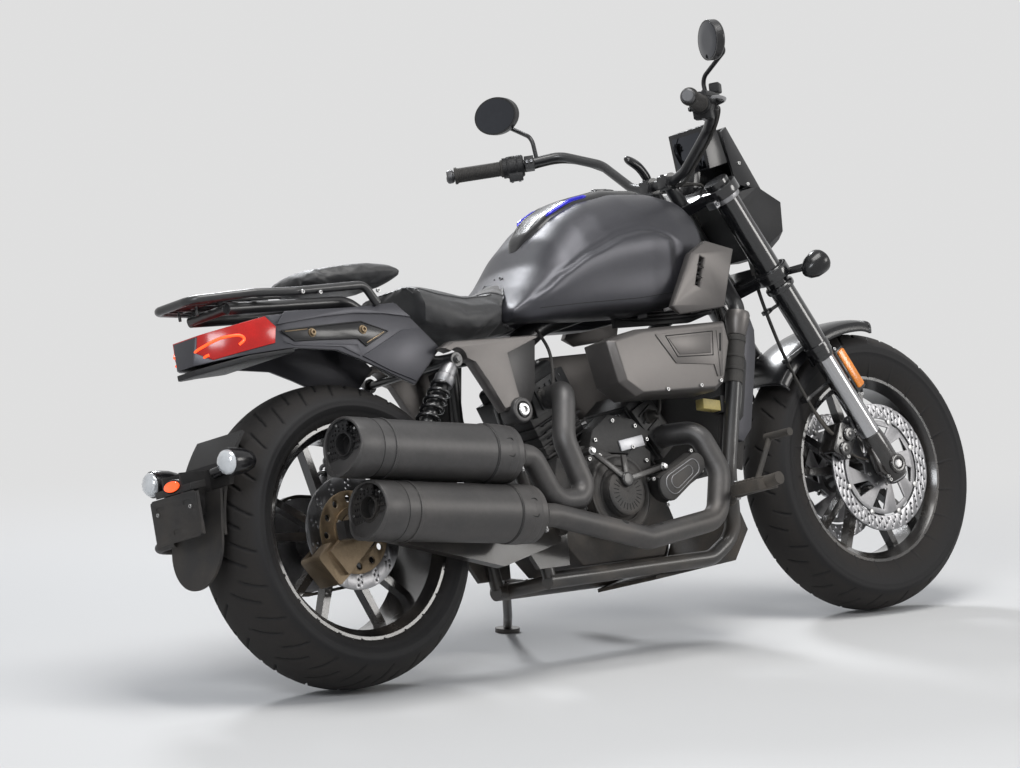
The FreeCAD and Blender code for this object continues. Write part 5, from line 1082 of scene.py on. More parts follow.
def make_tail():
    inset, rim, fold, bolts, tube = works(5)
    inset.prism(at_side(TAIL_WALL, *TAIL_INSET), RIGHT * 2.2)
    rim.loop(at_side(TAIL_WALL - 1.6, *TAIL_INSET), 2.0, 8)
    for rear, front, radius in INSET_LINES:
        bolts.pipe(at_side(TAIL_WALL - 2.6, rear, front), radius, 6)
    for spot in at_side(TAIL_WALL - 2, (-89, 723), (44, 722)):
        bolts.bolt(spot, RIGHT, 6.6)
        bolts.ring(((7, 0), (9.4, 0), (9.4, 1.6), (7, 2.2)), spot, RIGHT, 24)
    for outline, rise in TAIL_FOLDS:
        fold.prism(at_side(TAIL_WALL, *outline), RIGHT * rise)
    fold.mirrored().done("tail_folds", "grey_matte", bevel=1.6)
    inset.mirrored().done("tail_insets", "plastic_gloss", bevel=0.8)
    rim.mirrored().done("tail_inset_rims", "plastic_black")
    bolts.mirrored().done("tail_bolts", "bronze")
    tree = tree_of("tail_lamp")
    for side in (1, -1):
        path = spline([(x, side * y, z) for x, y, z in LIGHT_TUBE], 7)
        tube.pipe(laid(tree, path, (0.6, -side * 0.8, 0), 0.8), 3.0, 10)
    tube.done("tail_light_tubes", "glow_red", sharp=SHARP_SOFT)


def make_rack():
    slats, bolts = works(2)
    for side in SLAT_SIDES:
        slats.pipe(spline([(x, side * share, z) for x, share, z in SLAT], 4), 4.2, 8)
    for y in (-30, 30):
        slats.rod((-300, y, 806), (-300, y, 788), 3.2)
    slats.done("rack_slats", "black_frame")
    for spot in ((93, -130, 800), (-60, -131, 803), (-105, -131, 806)):
        bolts.bolt(spot, RIGHT, 4.4)
    bolts.mirrored().done("rack_bolts", "steel")


# The signals, reflector and blank plate behind the rear tyre

REAR_SIGNAL_SHELL = ((1, -52), (10, -50), (19, -40), (25, -22), (27.5, -4), (28, 14), (27.5, 18), (25.5, 19), (25, 12),
                     (1, 10))
REAR_SIGNAL_LENS = ((25.2, 12), (25.2, 20), (23.5, 25.5), (19, 30), (11, 33), (1, 34))
LENS_RADIUS = 24.0
PLATE = ((-78, 40), (-70, 46), (70, 46), (78, 40), (78, -40), (70, -46), (-70, -46), (-78, -40))
PLATE_SLOT = ((-14, -3), (-11, -4.5), (11, -4.5), (14, -3), (14, 3), (11, 4.5), (-11, 4.5), (-14, 3))
PLATE_SLOTS_AT = ((-46, 26), (46, 26), (0, -26))


def rear_face(x, z, tall=1.0):
    """The plane that looks back at a place on the middle line; tall squeezes it."""
    return basis((0, 1, 0), (0, 0, tall), (1, 0, 0), (x, 0, z))


def make_plate_end():
    shell, lens, ribs, red, base, bolts = works(6)
    for side in (1, -1):
        mid = Vector((-345, side * 130, 475))
        way = Vector((-1, side * 0.10, 0)).normalized()
        shell.turned(REAR_SIGNAL_SHELL, mid, way, 40)
        shell.rod(mid - way * 20 - SIDE * side * 10, Vector((-352, side * 60, 462)), 9, 11)
        lens.turned(REAR_SIGNAL_LENS, mid, way, 40)
        for z in range(-18, 19, 6):
            half = math.sqrt(LENS_RADIUS ** 2 - z * z) * 0.85
            lift = 31.5 - (z / LENS_RADIUS) ** 2 * 10
            ends = ((-half, lift - 3.5), (0, lift + 1.2), (half, lift - 3.5))
            ribs.pipe([mid + way * rise + Vector((0, y, z)) for y, rise in ends], 1.0, 6)
    red.pierced([circle(25, 40)], rear_face(-413.5, 452, 0.42), 5, 1.2)
    base.pierced([circle(30, 40)], rear_face(-410, 452, 0.46), 12, 1.5)
    slots = [[(y + dy, z + dz) for dy, dz in PLATE_SLOT] for y, z in PLATE_SLOTS_AT]
    base.pierced([PLATE] + slots, rear_face(-414, 388), 3.0, 0.6)
    base.prism([(-410, -60, 436), (-372, -60, 440), (-372, 60, 440), (-410, 60, 436)], UP * 14)
    for y in (-56, 56):
        bolts.bolt((-413, y, 404), (-1, 0, 0), 4.2)
    shell.done("rear_signal_shells", "plastic_gloss", ("rear_signals",))
    lens.done("rear_signal_lenses", "lamp_clear", ("rear_signals",), sharp=SHARP_SOFT)
    ribs.done("rear_signal_ribs", "lamp_clear", sharp=SHARP_SOFT)
    # The reflector takes the glowing finish though it is no lamp: painted light
    red.done("rear_reflector", "glow_red")
    base.done("plate_holder", "plastic_black", bevel=1.2)
    bolts.done("plate_holder_bolts", "steel")


# Fork and front end, in the fork's frame: ahead, side and up from the front axle

LEG_SIDE = 113
LEG_FOOT = ((1, -40), (20, -40), (25, -36), (27.4, -26), (27.6, 60), (27, 74), (25.6, 86), (24.6, 92), (24.4, 70),
            (1, 70))
LEG_SEALS = (((24.2, 305), (26.2, 306), (27.2, 309), (27.2, 322), (26, 326), (24.2, 327)),
             ((29.2, 330), (31, 331), (31, 344), (29.2, 346)))
LOW_COLLARS = (((29.2, 526), (36, 527), (38, 530), (38, 552), (36, 555), (29.2, 556)),
               ((29.2, 496), (34, 498), (35, 502), (35, 508), (33, 511), (29.2, 512)))
TOP_COLLAR = ((30, 743), (34, 744), (35, 747), (35, 765), (33, 768), (30, 768))
TOP_CAP = ((1, 766), (20, 766), (22, 768), (22, 774), (20, 776), (1, 776))
AXLE_RING = ((12, 0), (21, 0), (23, 2), (23, 9), (21, 11), (12, 11))
AXLE_NUT = ((1, 0), (11, 0), (12, 1), (12, 5), (9, 7), (1, 7))
CALIPER_LUG = ((-40, 8), (-18, -34), (-4, 60), (-30, 66))
REFLECTOR = ((0, 3), (3, 0), (19, 0), (22, 3), (22, 98), (19, 101), (3, 101), (0, 98))


def make_fork():
    feet, rings, amber, studs, caps, low = works(6, FORK)
    for side in (1, -1):
        leg, out, wall = (0, side * LEG_SIDE, 0), SIDE * side, side * 128 - 1
        feet.turned(LEG_FOOT, leg, UP, 36)
        feet.prism(at_side(side * 104, *CALIPER_LUG), out * 18)
        feet.ring(AXLE_RING, out * 134, out)
        feet.box((20, 50), (wall, wall + side * 2), (190, 302))
        studs.turned(AXLE_NUT, out * 138, out, 6)
        for spot in ((-30, 122, -22), (-30, 122, -12), (22, 134, 184), (22, 134, 310)):
            studs.bolt((spot[0], side * spot[1], spot[2]), out, 4.6 if spot[0] < 0 else 3.6)
        amber.pierced([REFLECTOR], basis((1, 0, 0), (0, 0, 1), (0, -1, 0), (26, side * 131 + 4, 197)), 8, 1.6)
        for profile in LEG_SEALS:
            rings.ring(profile, leg, UP, 36)
        for profile in LOW_COLLARS:
            low.ring(profile, leg, UP, 40)
        caps.ring(TOP_COLLAR, leg, UP, 40)
        caps.turned(TOP_CAP, leg, UP, 6)
        caps.box((-36, -50), (side * 99, side * 127), (747, 764))
        caps.bolt((-44, side * 128, 756), out, 4.6)
    feet.done("fork_feet", "black_gloss", bevel=1.6)
    rings.done("fork_seals", "black_gloss")
    amber.done("fork_reflectors", "amber")
    studs.done("fork_bolts", "steel")
    caps.done("fork_top_collars", "alloy", bevel=1.2)
    low.done("fork_low_collars", "black_gloss")


CALIPER_AT = about(FRONT_AXLE, 133, math.radians(150))
PISTON_CAP = ((1, -2), (16, -2), (17, 1), (17, 4), (14, 6.5), (1, 6.5))
PISTON_NUT = ((1, 6), (8, 6), (8, 7.6), (1, 7.6))


def make_calipers():
    caps, pins = works(2, body="fork")
    tree = tree_of("front_calipers")
    out = (CALIPER_AT - FRONT_AXLE).normalized()
    along = out.cross(SIDE).normalized()
    for side in (1, -1):
        way = SIDE * side
        wall = laid(tree, [CALIPER_AT + way * 200], -way)[0].y
        middle = Vector((CALIPER_AT.x, wall, CALIPER_AT.z))
        for shift in (-19, 19):
            caps.turned(PISTON_CAP, middle + along * shift, way)
            caps.turned(PISTON_NUT, middle + along * shift, way, 6)
        for shift in (-33, 33):
            pins.bolt(middle + along * shift - out * 12, way)
        pins.bolt(middle + out * 20, way, 3.4)
    caps.done("front_caliper_caps", "black_gloss", bevel=0.6)
    pins.done("front_caliper_pins", "steel")


FRONT_SIGNAL_SHELL = ((1, -46), (9, -45), (19, -36), (26.5, -20), (29, -2), (29, 8), (27.5, 12), (26, 12), (25.5, 6),
                      (1, 4))
FRONT_SIGNAL_LENS = ((25.8, 6), (25.8, 12), (24, 17), (18, 21.5), (9, 24), (1, 24.5))


def make_front_end():
    lens, shell = works(2, FORK)
    bolts = Work(body="fork")
    tree = tree_of("windscreen")
    for side in (1, -1):
        mid, way = Vector((66, side * 192, 510)), Vector((1, side * 0.12, 0))
        shell.turned(FRONT_SIGNAL_SHELL, mid, way, 40)
        shell.rod((18, side * 118, 528), mid + Vector((-10, -side * 8, 2)), 8, 9.5)
        lens.turned(FRONT_SIGNAL_LENS, mid, way, 40)
        for ahead, up in ((120, 722), (140, 770)):
            spot = laid(tree, [FORK @ Vector((ahead, side * 200, up))], SIDE * -side)[0]
            bolts.bolt(spot, SIDE * side, 4.2)
    shell.done("front_signal_shells", "plastic_gloss", ("front_signals",))
    lens.done("front_signal_lenses", "smoke", ("front_signals",), sharp=SHARP_SOFT)
    bolts.done("screen_bolts", "steel")


# Covers round the engine

COVER_WALL = -205
AIRBOX_PLATE = ((782, 653), (990, 659), (964, 550), (948, 550), (944, 577), (830, 586))
AIRBOX_BADGE = ((818, 643), (948, 646), (939, 603), (844, 605))
AIRBOX_GROOVE = ((811, 648), (956, 651), (945, 598), (837, 600))
COVER_BOSS = ((1, 0), (27, 0), (28, 3), (28, 40), (26, 46), (18, 47), (17, 43), (1, 43))
BOSS_SCREW = ((1, 0), (13, 0), (14.5, 1.5), (14.5, 6), (12, 8), (7, 8), (6, 4), (1, 4))
BOSS_PLATE = ((392, -140, 648), (470, -136, 677), (503, -128, 672), (478, -128, 566), (446, -130, 520),
              (420, -138, 530))
SHROUD = ((867, 716), (894, 697), (1030, 707), (1082, 835), (1000, 857), (948, 831))
SHROUD_BACK = ((930, 745), (962, 742), (1000, 830), (970, 838))
SHROUD_SLOTS_FROM, SHROUD_SLOTS_TO = Vector((950, 757)), Vector((980, 822))
SHROUD_PITCH, SHROUD_SLOT_LONG, SHROUD_SLOT_HALF = 25, 19, 6.0


def make_covers():
    plate, dark, bolts, inner = works(4)
    plate.prism(at_side(COVER_WALL, *AIRBOX_PLATE), RIGHT * 2.2)
    plate.prism(at_side(COVER_WALL - 2.2, *AIRBOX_BADGE), RIGHT * 1.2)
    # The groove round the badge and the slot beside it are near black: painted shade in them
    dark.loop(at_side(COVER_WALL - 2.4, *AIRBOX_GROOVE), 1.2)
    dark.pipe(at_side(COVER_WALL - 1.4, (979, 645), (969, 606)), 2.8, 10)
    dark.pipe(at_side(COVER_WALL - 2.1, (968, 652), (957, 550)), 0.8, 6)
    tree = tree_of("airbox_covers", "side_covers")
    for spot in laid(tree, at_side(-300, (790, 531), (893, 533), (955, 540)), SIDE):
        bolts.bolt(spot, RIGHT, 4.4)
    inner.turned(COVER_BOSS, (409, -112, 522), RIGHT, 40)
    inner.prism(BOSS_PLATE, SIDE * 9)
    bolts.turned(BOSS_SCREW, (409, -155, 522), RIGHT, 28)
    plate.mirrored().done("airbox_plates", "grey_light", bevel=1.0)
    dark.mirrored().done("airbox_slots", "dark_seam_and_hollow_shade")
    bolts.mirrored().done("cover_bolts", "steel")
    inner.mirrored().done("side_cover_bosses", "exhaust", bevel=1.4)


def make_shrouds():
    way = (SHROUD_SLOTS_TO - SHROUD_SLOTS_FROM).normalized()
    across = Vector((way.y, -way.x)) * SHROUD_SLOT_HALF
    shell, back = works(2)
    # The plate and fins behind the slots are near black: painted shade inside the shroud
    back.prism(at_side(-177, *SHROUD_BACK), SIDE * 3)
    slots = []
    for k in range(3):
        foot = SHROUD_SLOTS_FROM + way * k * SHROUD_PITCH
        end = foot + way * SHROUD_SLOT_LONG
        slots.append([foot - across, foot + across, end + across, end - across])
        x, z = foot + way * SHROUD_SLOT_LONG / 2
        back.prism(at_side(-180, (x - 8, z - 2), (x + 8, z - 6), (x + 8, z - 2), (x - 8, z + 2)), RIGHT * 8)
    shell.pierced([SHROUD] + slots, basis((1, 0, 0), (0, 0, 1), (0, -1, 0), (0, -173, 0)), 22, 4.0)
    for vertex in shell.mesh.verts:
        if vertex.co.y < -182 and vertex.co.z < 730:
            vertex.co.y += (730 - vertex.co.z) * 0.42
    shell.mirrored().done("shroud_shells", "grey_light", ("tank_shrouds",), bevel=1.2)
    back.mirrored().done("shroud_louvres", "dark_seam_and_hollow_shade")


# Radiator, down tubes and the loom under the tank

TUBE_FOOT, TUBE_WAY, TUBE_AHEAD = Vector((986, -148, 345)), Vector((0.321, 0, 0.947)), Vector((0.947, 0, -0.321))
# Radius and height on the down tube
SLEEVE = ((18.1, 318), (20, 316), (21, 318), (27, 352), (28, 366), (26, 372), (18.1, 372))
SLEEVE_RIBS = ((18.1, 204), (20.4, 205), (20.6, 232), (22, 233), (22, 238), (20.6, 239), (20.6, 262), (22, 263),
               (22, 268), (20.6, 269), (20.8, 300), (22.2, 302), (22.2, 312), (20, 315), (18.1, 315))
# Distance ahead of the down tube and height on it
COWL = ((8, 84), (8, 330), (26, 372), (48, 380), (66, 352), (74, 300), (74, 120), (52, 84))
COWL_RECESS = ((26, 130), (26, 268), (38, 284), (46, 268), (46, 142), (38, 130))
LOOM = ((826, 700), (1060, 700), (1124, 716), (1150, 744), (1090, 756), (830, 750))
LOOM_WIRES = (0, 9, 17, 26)
LOOM_PLUGS = ((880, 712), (962, 724), (1046, 716))


def make_radiator_parts():
    inset, bolts, sleeves, ribs, cowl, recess = works(6)
    tree = tree_of("radiator")
    patch(inset, tree, (1140, -126, 542), (15, 0, 3), (13, 0, 56), SIDE, 2.4, True)
    for share in (-0.72, 0, 0.72):
        bolts.bolt(laid(tree, [(1140 + 13 * share, -200, 542 + 56 * share)], SIDE, 2.4)[0], RIGHT, 3.4)
    sleeves.ring(SLEEVE, TUBE_FOOT, TUBE_WAY, 36)
    ribs.ring(SLEEVE_RIBS, TUBE_FOOT, TUBE_WAY, 36)
    for work, outline, side, deep in ((cowl, COWL, 12, 14), (recess, COWL_RECESS, 11, 3)):
        foot = TUBE_FOOT + SIDE * side
        work.prism([foot + TUBE_AHEAD * ahead + TUBE_WAY * up for ahead, up in outline], SIDE * deep)
    inset.mirrored().done("radiator_insets", "plastic_gloss")
    bolts.mirrored().done("radiator_bolts", "steel")
    sleeves.mirrored().done("down_tube_sleeves", "grey_light")
    ribs.mirrored().done("down_tube_ribs", "rubber")
    cowl.mirrored().done("radiator_cowls", "grey_matte", bevel=3.0)
    recess.mirrored().done("cowl_recesses", "plastic_gloss", bevel=0.6)


def make_loom():
    loom, plugs, relay, strap = works(4)
    loom.prism(at_side(-44, *LOOM), SIDE * 14)
    for k, drop in enumerate(LOOM_WIRES):
        wire = [(838, -50, 742), (930, -56 - 2 * k, 736), (1020, -52, 738), (1120, -50, 742)]
        loom.pipe(spline([(x, y, z - drop) for x, y, z in wire], 20), 3.4, 10)
    for x, z in LOOM_PLUGS:
        plugs.prism(at_side(-62, (x, z), (x + 30, z + 3), (x + 28, z + 21), (x - 2, z + 18)), SIDE * 20)
    relay.prism(at_side(-141, (956, 513), (1022, 502), (1018, 479), (953, 490)), SIDE * 26)
    strap.prism(at_side(-143, (1008, 516), (1020, 514), (1016, 476), (1004, 478)), SIDE * 30)
    strap.prism([(1010, -136, 500), (1056, -140, 500), (1056, -140, 494), (1010, -136, 494)], SIDE * 12)
    loom.done("tank_loom", "plastic_black", bevel=1.5)
    plugs.done("loom_plugs", "bar_grey", bevel=1.5)
    relay.done("tan_relay", "tan_box", bevel=2.0)
    strap.done("relay_strap", "plastic_black", bevel=1.0)


# Engine

CLUTCH = Vector((662, 0, 324))
CLUTCH_CAP = ((40, 0), (50, 0), (51.5, 1.4), (51.5, 3.0), (49, 4.6), (42, 5.2), (1, 5.6), (1, 0))
CLUTCH_RIM = ((60, 0), (84, 0), (85.5, 1.6), (84, 3.2), (80, 3.6), (78, 2), (64, 2), (62, 3.4), (60, 3))
BRACKET = Vector((662, -160.5, 350))
BRACKET_ENDS = (((582, -150, 420), 7.5), ((784, -150, 369), 7.5), ((668, -156, 404), 9))
BRACKET_HUB = ((1, 0), (15, 0), (16, 2), (16, 9), (13, 11), (1, 11))
VALLEY_COVER = ((618, 424), (640, 470), (694, 502), (764, 486), (806, 452), (780, 404))
CASE_COVER = ((590, 400), (640, 432), (720, 400), (760, 440), (800, 410), (786, 352), (740, 330), (590, 352))
VALLEY_BOLTS = ((640, 448), (700, 486), (764, 470), (792, 438))
CASE_BOLTS = ((612, 408), (745, 424), (778, 392), (600, 362), (775, 350))
BLANK_PLATE = ((708, 441), (780, 449), (784, 425), (712, 417))
PUMP_LOW, PUMP_HIGH = Vector((764, -178, 322)), Vector((856, -178, 366))
PUMP_LOW_R, PUMP_HIGH_R = 31, 24
PUMP_RIM_Y = -188.4


def make_clutch_cover():
    rings, bolts, arms, dark, valley, plate = works(6)
    rings.ring(CLUTCH_CAP, CLUTCH + RIGHT * 154.8, RIGHT, 64)
    rings.ring(CLUTCH_RIM, CLUTCH + RIGHT * 136, RIGHT, 72)
    # The flutes on the cap are near-black lines: painted shade in their grooves
    for a in angles(24):
        dark.pipe([about(CLUTCH, r, a, -160.1) for r in (26, 40)], 0.9, 6)
    for a in angles(8, 0.3):
        bolts.bolt(about(CLUTCH, 91, a, -112), RIGHT, 5.2)
        rings.rod(about(CLUTCH, 91, a, -90), about(CLUTCH, 91, a, -113), 9)
    for end, wide in BRACKET_ENDS:
        end = Vector(end)
        across = (end - BRACKET).normalized().cross(SIDE).normalized() * wide
        arms.prism([BRACKET - across, BRACKET + across, end + across * 0.7, end - across * 0.7], RIGHT * 7)
    arms.turned(BRACKET_HUB, BRACKET + SIDE, RIGHT)
    for x, z in ((582, 420), (784, 369)):
        bolts.bolt((x, -157, z), RIGHT, 6.5, SIX_SIDED_HEAD)
        arms.rod((x, -92, z), (x, -156, z), 8)
    valley.prism(at_side(-62, *VALLEY_COVER), RIGHT * 46)
    valley.prism(at_side(-92, *CASE_COVER), RIGHT * 18)
    for spot in at_side(-108, *VALLEY_BOLTS) + at_side(-110, *CASE_BOLTS):
        bolts.bolt(spot, RIGHT, 4.8)
    plate.prism(at_side(-108, *BLANK_PLATE), RIGHT * 4)
    plate.done("blank_plate", "alloy_pale", bevel=1.6)
    valley.done("engine_valley_cover", "engine_black", bevel=4.0)
    rings.done("engine_cover_rings", "engine_black", sharp=40)
    arms.done("engine_bracket", "black_frame", bevel=1.6)
    dark.done("engine_cover_flutes", "dark_seam_and_hollow_shade")
    make_pump_cover(bolts)
    bolts.done("engine_bolts", "steel")


def make_pump_cover(bolts):
    pod, rim = works(2)
    way = (PUMP_HIGH - PUMP_LOW).normalized()
    across = way.cross(SIDE).normalized()

    def round_end(centre, radius, degrees):
        return [centre + way * x + across * y for x, y in (polar(radius, math.radians(d)) for d in degrees)]

    outline = round_end(PUMP_LOW, PUMP_LOW_R, range(90, 271, 15))
    outline += round_end(PUMP_HIGH, PUMP_HIGH_R, range(-90, 91, 15))
    pod.prism(outline, RIGHT * 10)
    outer = [PUMP_LOW + (p - PUMP_LOW) * 0.72 + way * 12 + RIGHT * 10.2 for p in outline]
    inner = [p + (PUMP_LOW + way * 40 - p) * 0.35 for p in outer]
    rim.loop(outer, 1.3)
    rim.loop([Vector((p.x, PUMP_RIM_Y, p.z)) for p in inner], 1.0)
    for spot in round_end(PUMP_LOW, 38, (120, 0, 240)) + round_end(PUMP_HIGH, 30, (60, 180, 300)):
        bolts.bolt((spot.x, -170, spot.z), RIGHT, 4.4)
    pod.done("pump_cover", "engine_black", bevel=3.4)
    rim.done("pump_cover_ribs", "alloy")


CRANK = Vector((650, 0, 338))
FRONT_TILT, REAR_TILT = 56, -22
LEAD_CAP = ((1, 0), (15, 0), (16, 3), (16, 12), (12, 16), (10, 30), (7, 34), (1, 34))
LEAD = ((0, 0, 0), (2, -10, 8), (14, -8, 50), (34, 16, 100), (40, 50, 150))
# Tilt, cover's height, half top width, height and depth, its ribs' pitch and length
HEAD_COVERS = ((REAR_TILT, 210, 48, 66, 14, 18, 48), (FRONT_TILT, 212, 50, 62, 13, 19, 44))
HEAD_COVER_HALF = 60


def cylinder_axes(tilt):
    """The way up a cylinder and the way across it."""
    way = Vector((math.sin(math.radians(tilt)), 0, math.cos(math.radians(tilt))))
    return way, way.cross(SIDE)


def make_cylinder_parts():
    bolts, leads, fins = works(3)
    for tilt in (REAR_TILT, FRONT_TILT):
        way, across = cylinder_axes(tilt)
        for up in (226, 262):
            for shift in (-52, 0, 52):
                bolts.bolt(CRANK + way * up + across * shift + RIGHT * 70, RIGHT)
        for shift in (-44, 44):
            bolts.bolt(CRANK + way * 302 + across * shift + RIGHT * 40, way, 5.4, SIX_SIDED_HEAD)
        cap = CRANK + way * 245 + across * 20 + RIGHT * 71
        leads.turned(LEAD_CAP, cap, RIGHT, 28)
        leads.pipe(spline([cap + RIGHT * 32 + Vector(step) for step in LEAD]), 3.6, 10)
    way, across = cylinder_axes(REAR_TILT)
    for k in range(7):
        foot = CRANK + RIGHT * 66 + way * (96 + k * 15)
        outer = foot + RIGHT * 9
        fins.prism([foot - across * 52, foot + across * 52, outer + across * 50, outer - across * 50], way * 3.2)
    for tilt, height, half, tall, deep, pitch, long in HEAD_COVERS:
        way, across = cylinder_axes(tilt)
        foot = CRANK + RIGHT * 66 + way * height
        top = foot + way * tall
        low_edge, top_edge = across * HEAD_COVER_HALF, across * half
        fins.prism([foot - low_edge, foot + low_edge, top + top_edge, top - top_edge], RIGHT * deep)
        for k in range(-2, 3):
            root = foot + across * k * pitch + RIGHT * deep + way * 8
            rib = (root - across * 2, root + across * 2, root + across * 2 + way * long, root - across * 2 + way * long)
            fins.prism(rib, RIGHT * 4)
    bolts.done("cylinder_bolts", "steel")
    leads.done("ignition_leads", "rubber")
    fins.done("cylinder_ribs", "engine_black", bevel=1.0)


# Bar, mirrors and lines

GRIP_FOOT = ((11.2, 8), (19, 8), (20, 10), (20, 14), (17.2, 16))
GRIP_RIB = ((17.4, 0), (17.4, 2.4), (16.6, 2.8), (16.6, 3.6))
GRIP_RIBS, GRIP_RIBS_FROM, GRIP_PITCH = 26, 17, 3.8
GRIP_HEAD = ((19.5, 117), (20.5, 119), (20.5, 124), (18, 126), (11.2, 126))
BAR_END_CAP = ((1, -10), (12, -10), (15, -8), (16, -5), (16, 3), (14, 5), (14, 7), (1, 7))
SWITCH_POD = ((11.2, 0), (23, 0), (25.5, 3), (26, 10), (26, 22), (25, 23), (25, 25), (26, 26), (26, 38), (23, 42),
              (11.2, 42))
# Along the bar, ahead and up from the foot of the switch pod
POD_BASE = ((4, -20, -14), (4, 20, -14), (4, 20, -36), (4, -20, -32))
LEVER_PERCH = ((44, -14, 14), (44, 22, 18), (44, 30, -12), (44, -14, -15))
POD_SWITCH = ((8, -25, -4), (26, -25, -4), (26, -25, -12), (8, -25, -12))
LEVER = ((56, 24, 0), (30, 48, 0), (-20, 56, -2), (-66, 53, -4), (-100, 42, -6))
CLAMP_SPOT = Vector((1079.8, 0, 1027.4))
RESERVOIR = ((-22, -8, 0), (10, 18, 0), (24, 0, 0), (-8, -26, 0))
PADDLES = (
    # path, steps, radii, flatness
    (((-8, 58, 812), (-30, 60, 826), (-48, 62, 842), (-44, 62, 852)), 5,
     [6, 10, 13, 13, 13, 14, 15, 15, 14, 13, 12, 10, 9, 8, 7, 4], 0.75),
    (((-26, 60, 838), (-22, 60, 862), (-26, 60, 892), (-40, 60, 918), (-48, 60, 926)), 4,
     [6, 9, 12, 14, 15, 15, 15, 15, 15, 15, 14.5, 14, 13, 12, 10, 7, 4], 0.7),
)


def bar_end(side):
    return Vector((825.8, side * 430, 1145.2)), Vector((0.7888, -side * 0.6146, 0)).normalized()


def make_grips():
    grips, caps, pods, knobs, bright = works(5, body="fork")
    profile = list(GRIP_FOOT)
    for k in range(GRIP_RIBS):
        profile += [(radius, GRIP_RIBS_FROM + k * GRIP_PITCH + rise) for radius, rise in GRIP_RIB]
    profile += GRIP_HEAD
    for side in (1, -1):
        end, way = bar_end(side)
        across = way.cross(UP)
        foot = end + way * 130
        ahead = across if across.x > 0 else -across

        def spots(shape, out=across):
            return [foot + way * x + out * y + UP * z for x, y, z in shape]

        grips.ring(profile, end, way, 40)
        caps.turned(BAR_END_CAP, end, way, 36)
        pods.ring(SWITCH_POD, foot, way, 36)
        pods.prism(spots(POD_BASE), way * 32)
        pods.prism(spots(LEVER_PERCH), way * 22)
        for shift in (10, 20, 31):
            knobs.rod(*spots(((shift, -20, 8), (shift, -30, 10))), 4.2, turns=14)
        knobs.prism(spots(POD_SWITCH), -across * 5)
        for spot in spots(((10, 0, -33), (28, 0, -33))):
            bright.bolt(spot, -UP, 3.4)
        for spot in spots(((50, 26, 4), (60, 27, 4))):
            bright.bolt(spot, across, 3.6)
        line = spline(spots(LEVER, ahead))
        radii = [7.5 - 3.4 * min(1, k / (len(line) * 0.5)) for k in range(len(line) - 2)] + [5.4, 3.0]
        bright.pipe(line, radii, 12, 0.62)
    grips.done("grip_sleeves", "rubber", ("grips",))
    caps.done("bar_end_caps", "bar_grey")
    pods.done("switch_pods", "plastic_black", bevel=1.6)
    knobs.done("switch_buttons", "plastic_gloss", bevel=0.8)
    bright.done("lever_blades", "alloy")


def make_bar_parts():
    tank, clamps = works(2, body="fork")
    end, way = bar_end(-1)
    foot = end + way * 178 + Vector((20, -16, 22))
    tank.prism([foot + Vector(corner) for corner in RESERVOIR], (2, 0, 22))
    for side in (1, -1):
        x, y, z = CLAMP_SPOT + SIDE * side * 32
        clamps.box((x - 20, x + 20), (y - 13, y + 13), (z - 13, z + 14))
        for shift in (-14, 14):
            clamps.bolt((x + shift, y, z + 14), UP, 4.4)
    paddle = Work(FORK)
    for path, steps, radii, flat in PADDLES:
        paddle.pipe(spline(path, steps), radii, 16, flat)
    tank.done("brake_reservoir", "plastic_black", bevel=3.0)
    clamps.done("bar_clamps", "black_frame", bevel=3.0)
    paddle.done("bar_paddle", "plastic_gloss", sharp=SHARP_SOFT)


BAR_LINE = ((943.9, -338, 1145.2), (1034.1, -278.2, 1155.4), (1081.8, -190.1, 1113.5), (1079.8, -95, 1039.5),
            (1079.8, -56, 1027.4))
STEM_LINE = ((20, 40, 790), (30, 40, 740), (26, 44, 690))
# Radius and turns, and the way down the fork
HOSES = (
    (4.2, 10, ((10, 66, 600), (-26, 72, 520), (-52, 74, 430), (-74, 78, 330), (-88, 88, 230), (-92, 96, 176),
               (-84, 97, 150))),
    (2.6, 8, ((6, 74, 600), (-38, 80, 500), (-64, 82, 400), (-80, 84, 300), (-84, 86, 220), (-66, 90, 90),
              (-30, 92, 40))),
)
HOSE_CLIPS = ((-46, 470), (-70, 352), (-84, 250))


def make_cables():
    black, clips = Work(body="fork"), Work(FORK)
    bar = spline(BAR_LINE, 6)
    for lift, ahead, radius in ((-15, 6, 3.2), (-9, 14, 2.6)):
        for side in (1, -1):
            line = [Vector((p.x + ahead, p.y * -side, p.z + lift)) for p in bar]
            line += [FORK @ Vector((x, side * y, z)) for x, y, z in STEM_LINE]
            black.pipe(spline(line, 2), radius, 8)
    for side in (1, -1):
        for radius, turns, hose in HOSES:
            black.pipe([FORK @ p for p in spline([(x, side * y, z) for x, y, z in hose], 6)], radius, turns)
        for x, z in HOSE_CLIPS:
            clips.box((x - 8, x + 10), (side * 70, side * 90), (z - 5, z + 5))
            near, far = (x + 4, side * 84), (-18, side * 98)
            clips.prism([(*near, z - 4), (*far, z - 4), (*far, z + 4), (*near, z + 4)], SIDE * side * 4)
    black.done("control_lines", "rubber", sharp=SHARP_SOFT)
    clips.done("line_clips", "black_frame", bevel=1.0)


def face_cover(work, node, way, side, lift, keep):
    """A thin cover on the node's largest flat face that looks along a way, on one side of the machine."""
    back = REST[BODY_OF[node]].inverted()
    mesh = node_mesh(node)
    area = 0.0
    for face in mesh.polygons:
        spot, facing = back @ face.center, (back.to_3x3() @ face.normal).normalized()
        if spot.y * side >= 0 and facing.dot(Vector(way).normalized()) >= 0.7 and face.area >= area:
            area, middle, normal = face.area, spot, facing
            outline = [back @ mesh.vertices[i].co for i in face.vertices]
    steps = ((keep, -0.5), (keep, lift), (keep * 0.97, lift + 0.4), (keep * 0.5, lift + 0.5))
    return work.skin([[middle + (p - middle) * share + normal * rise for p in outline] for share, rise in steps])


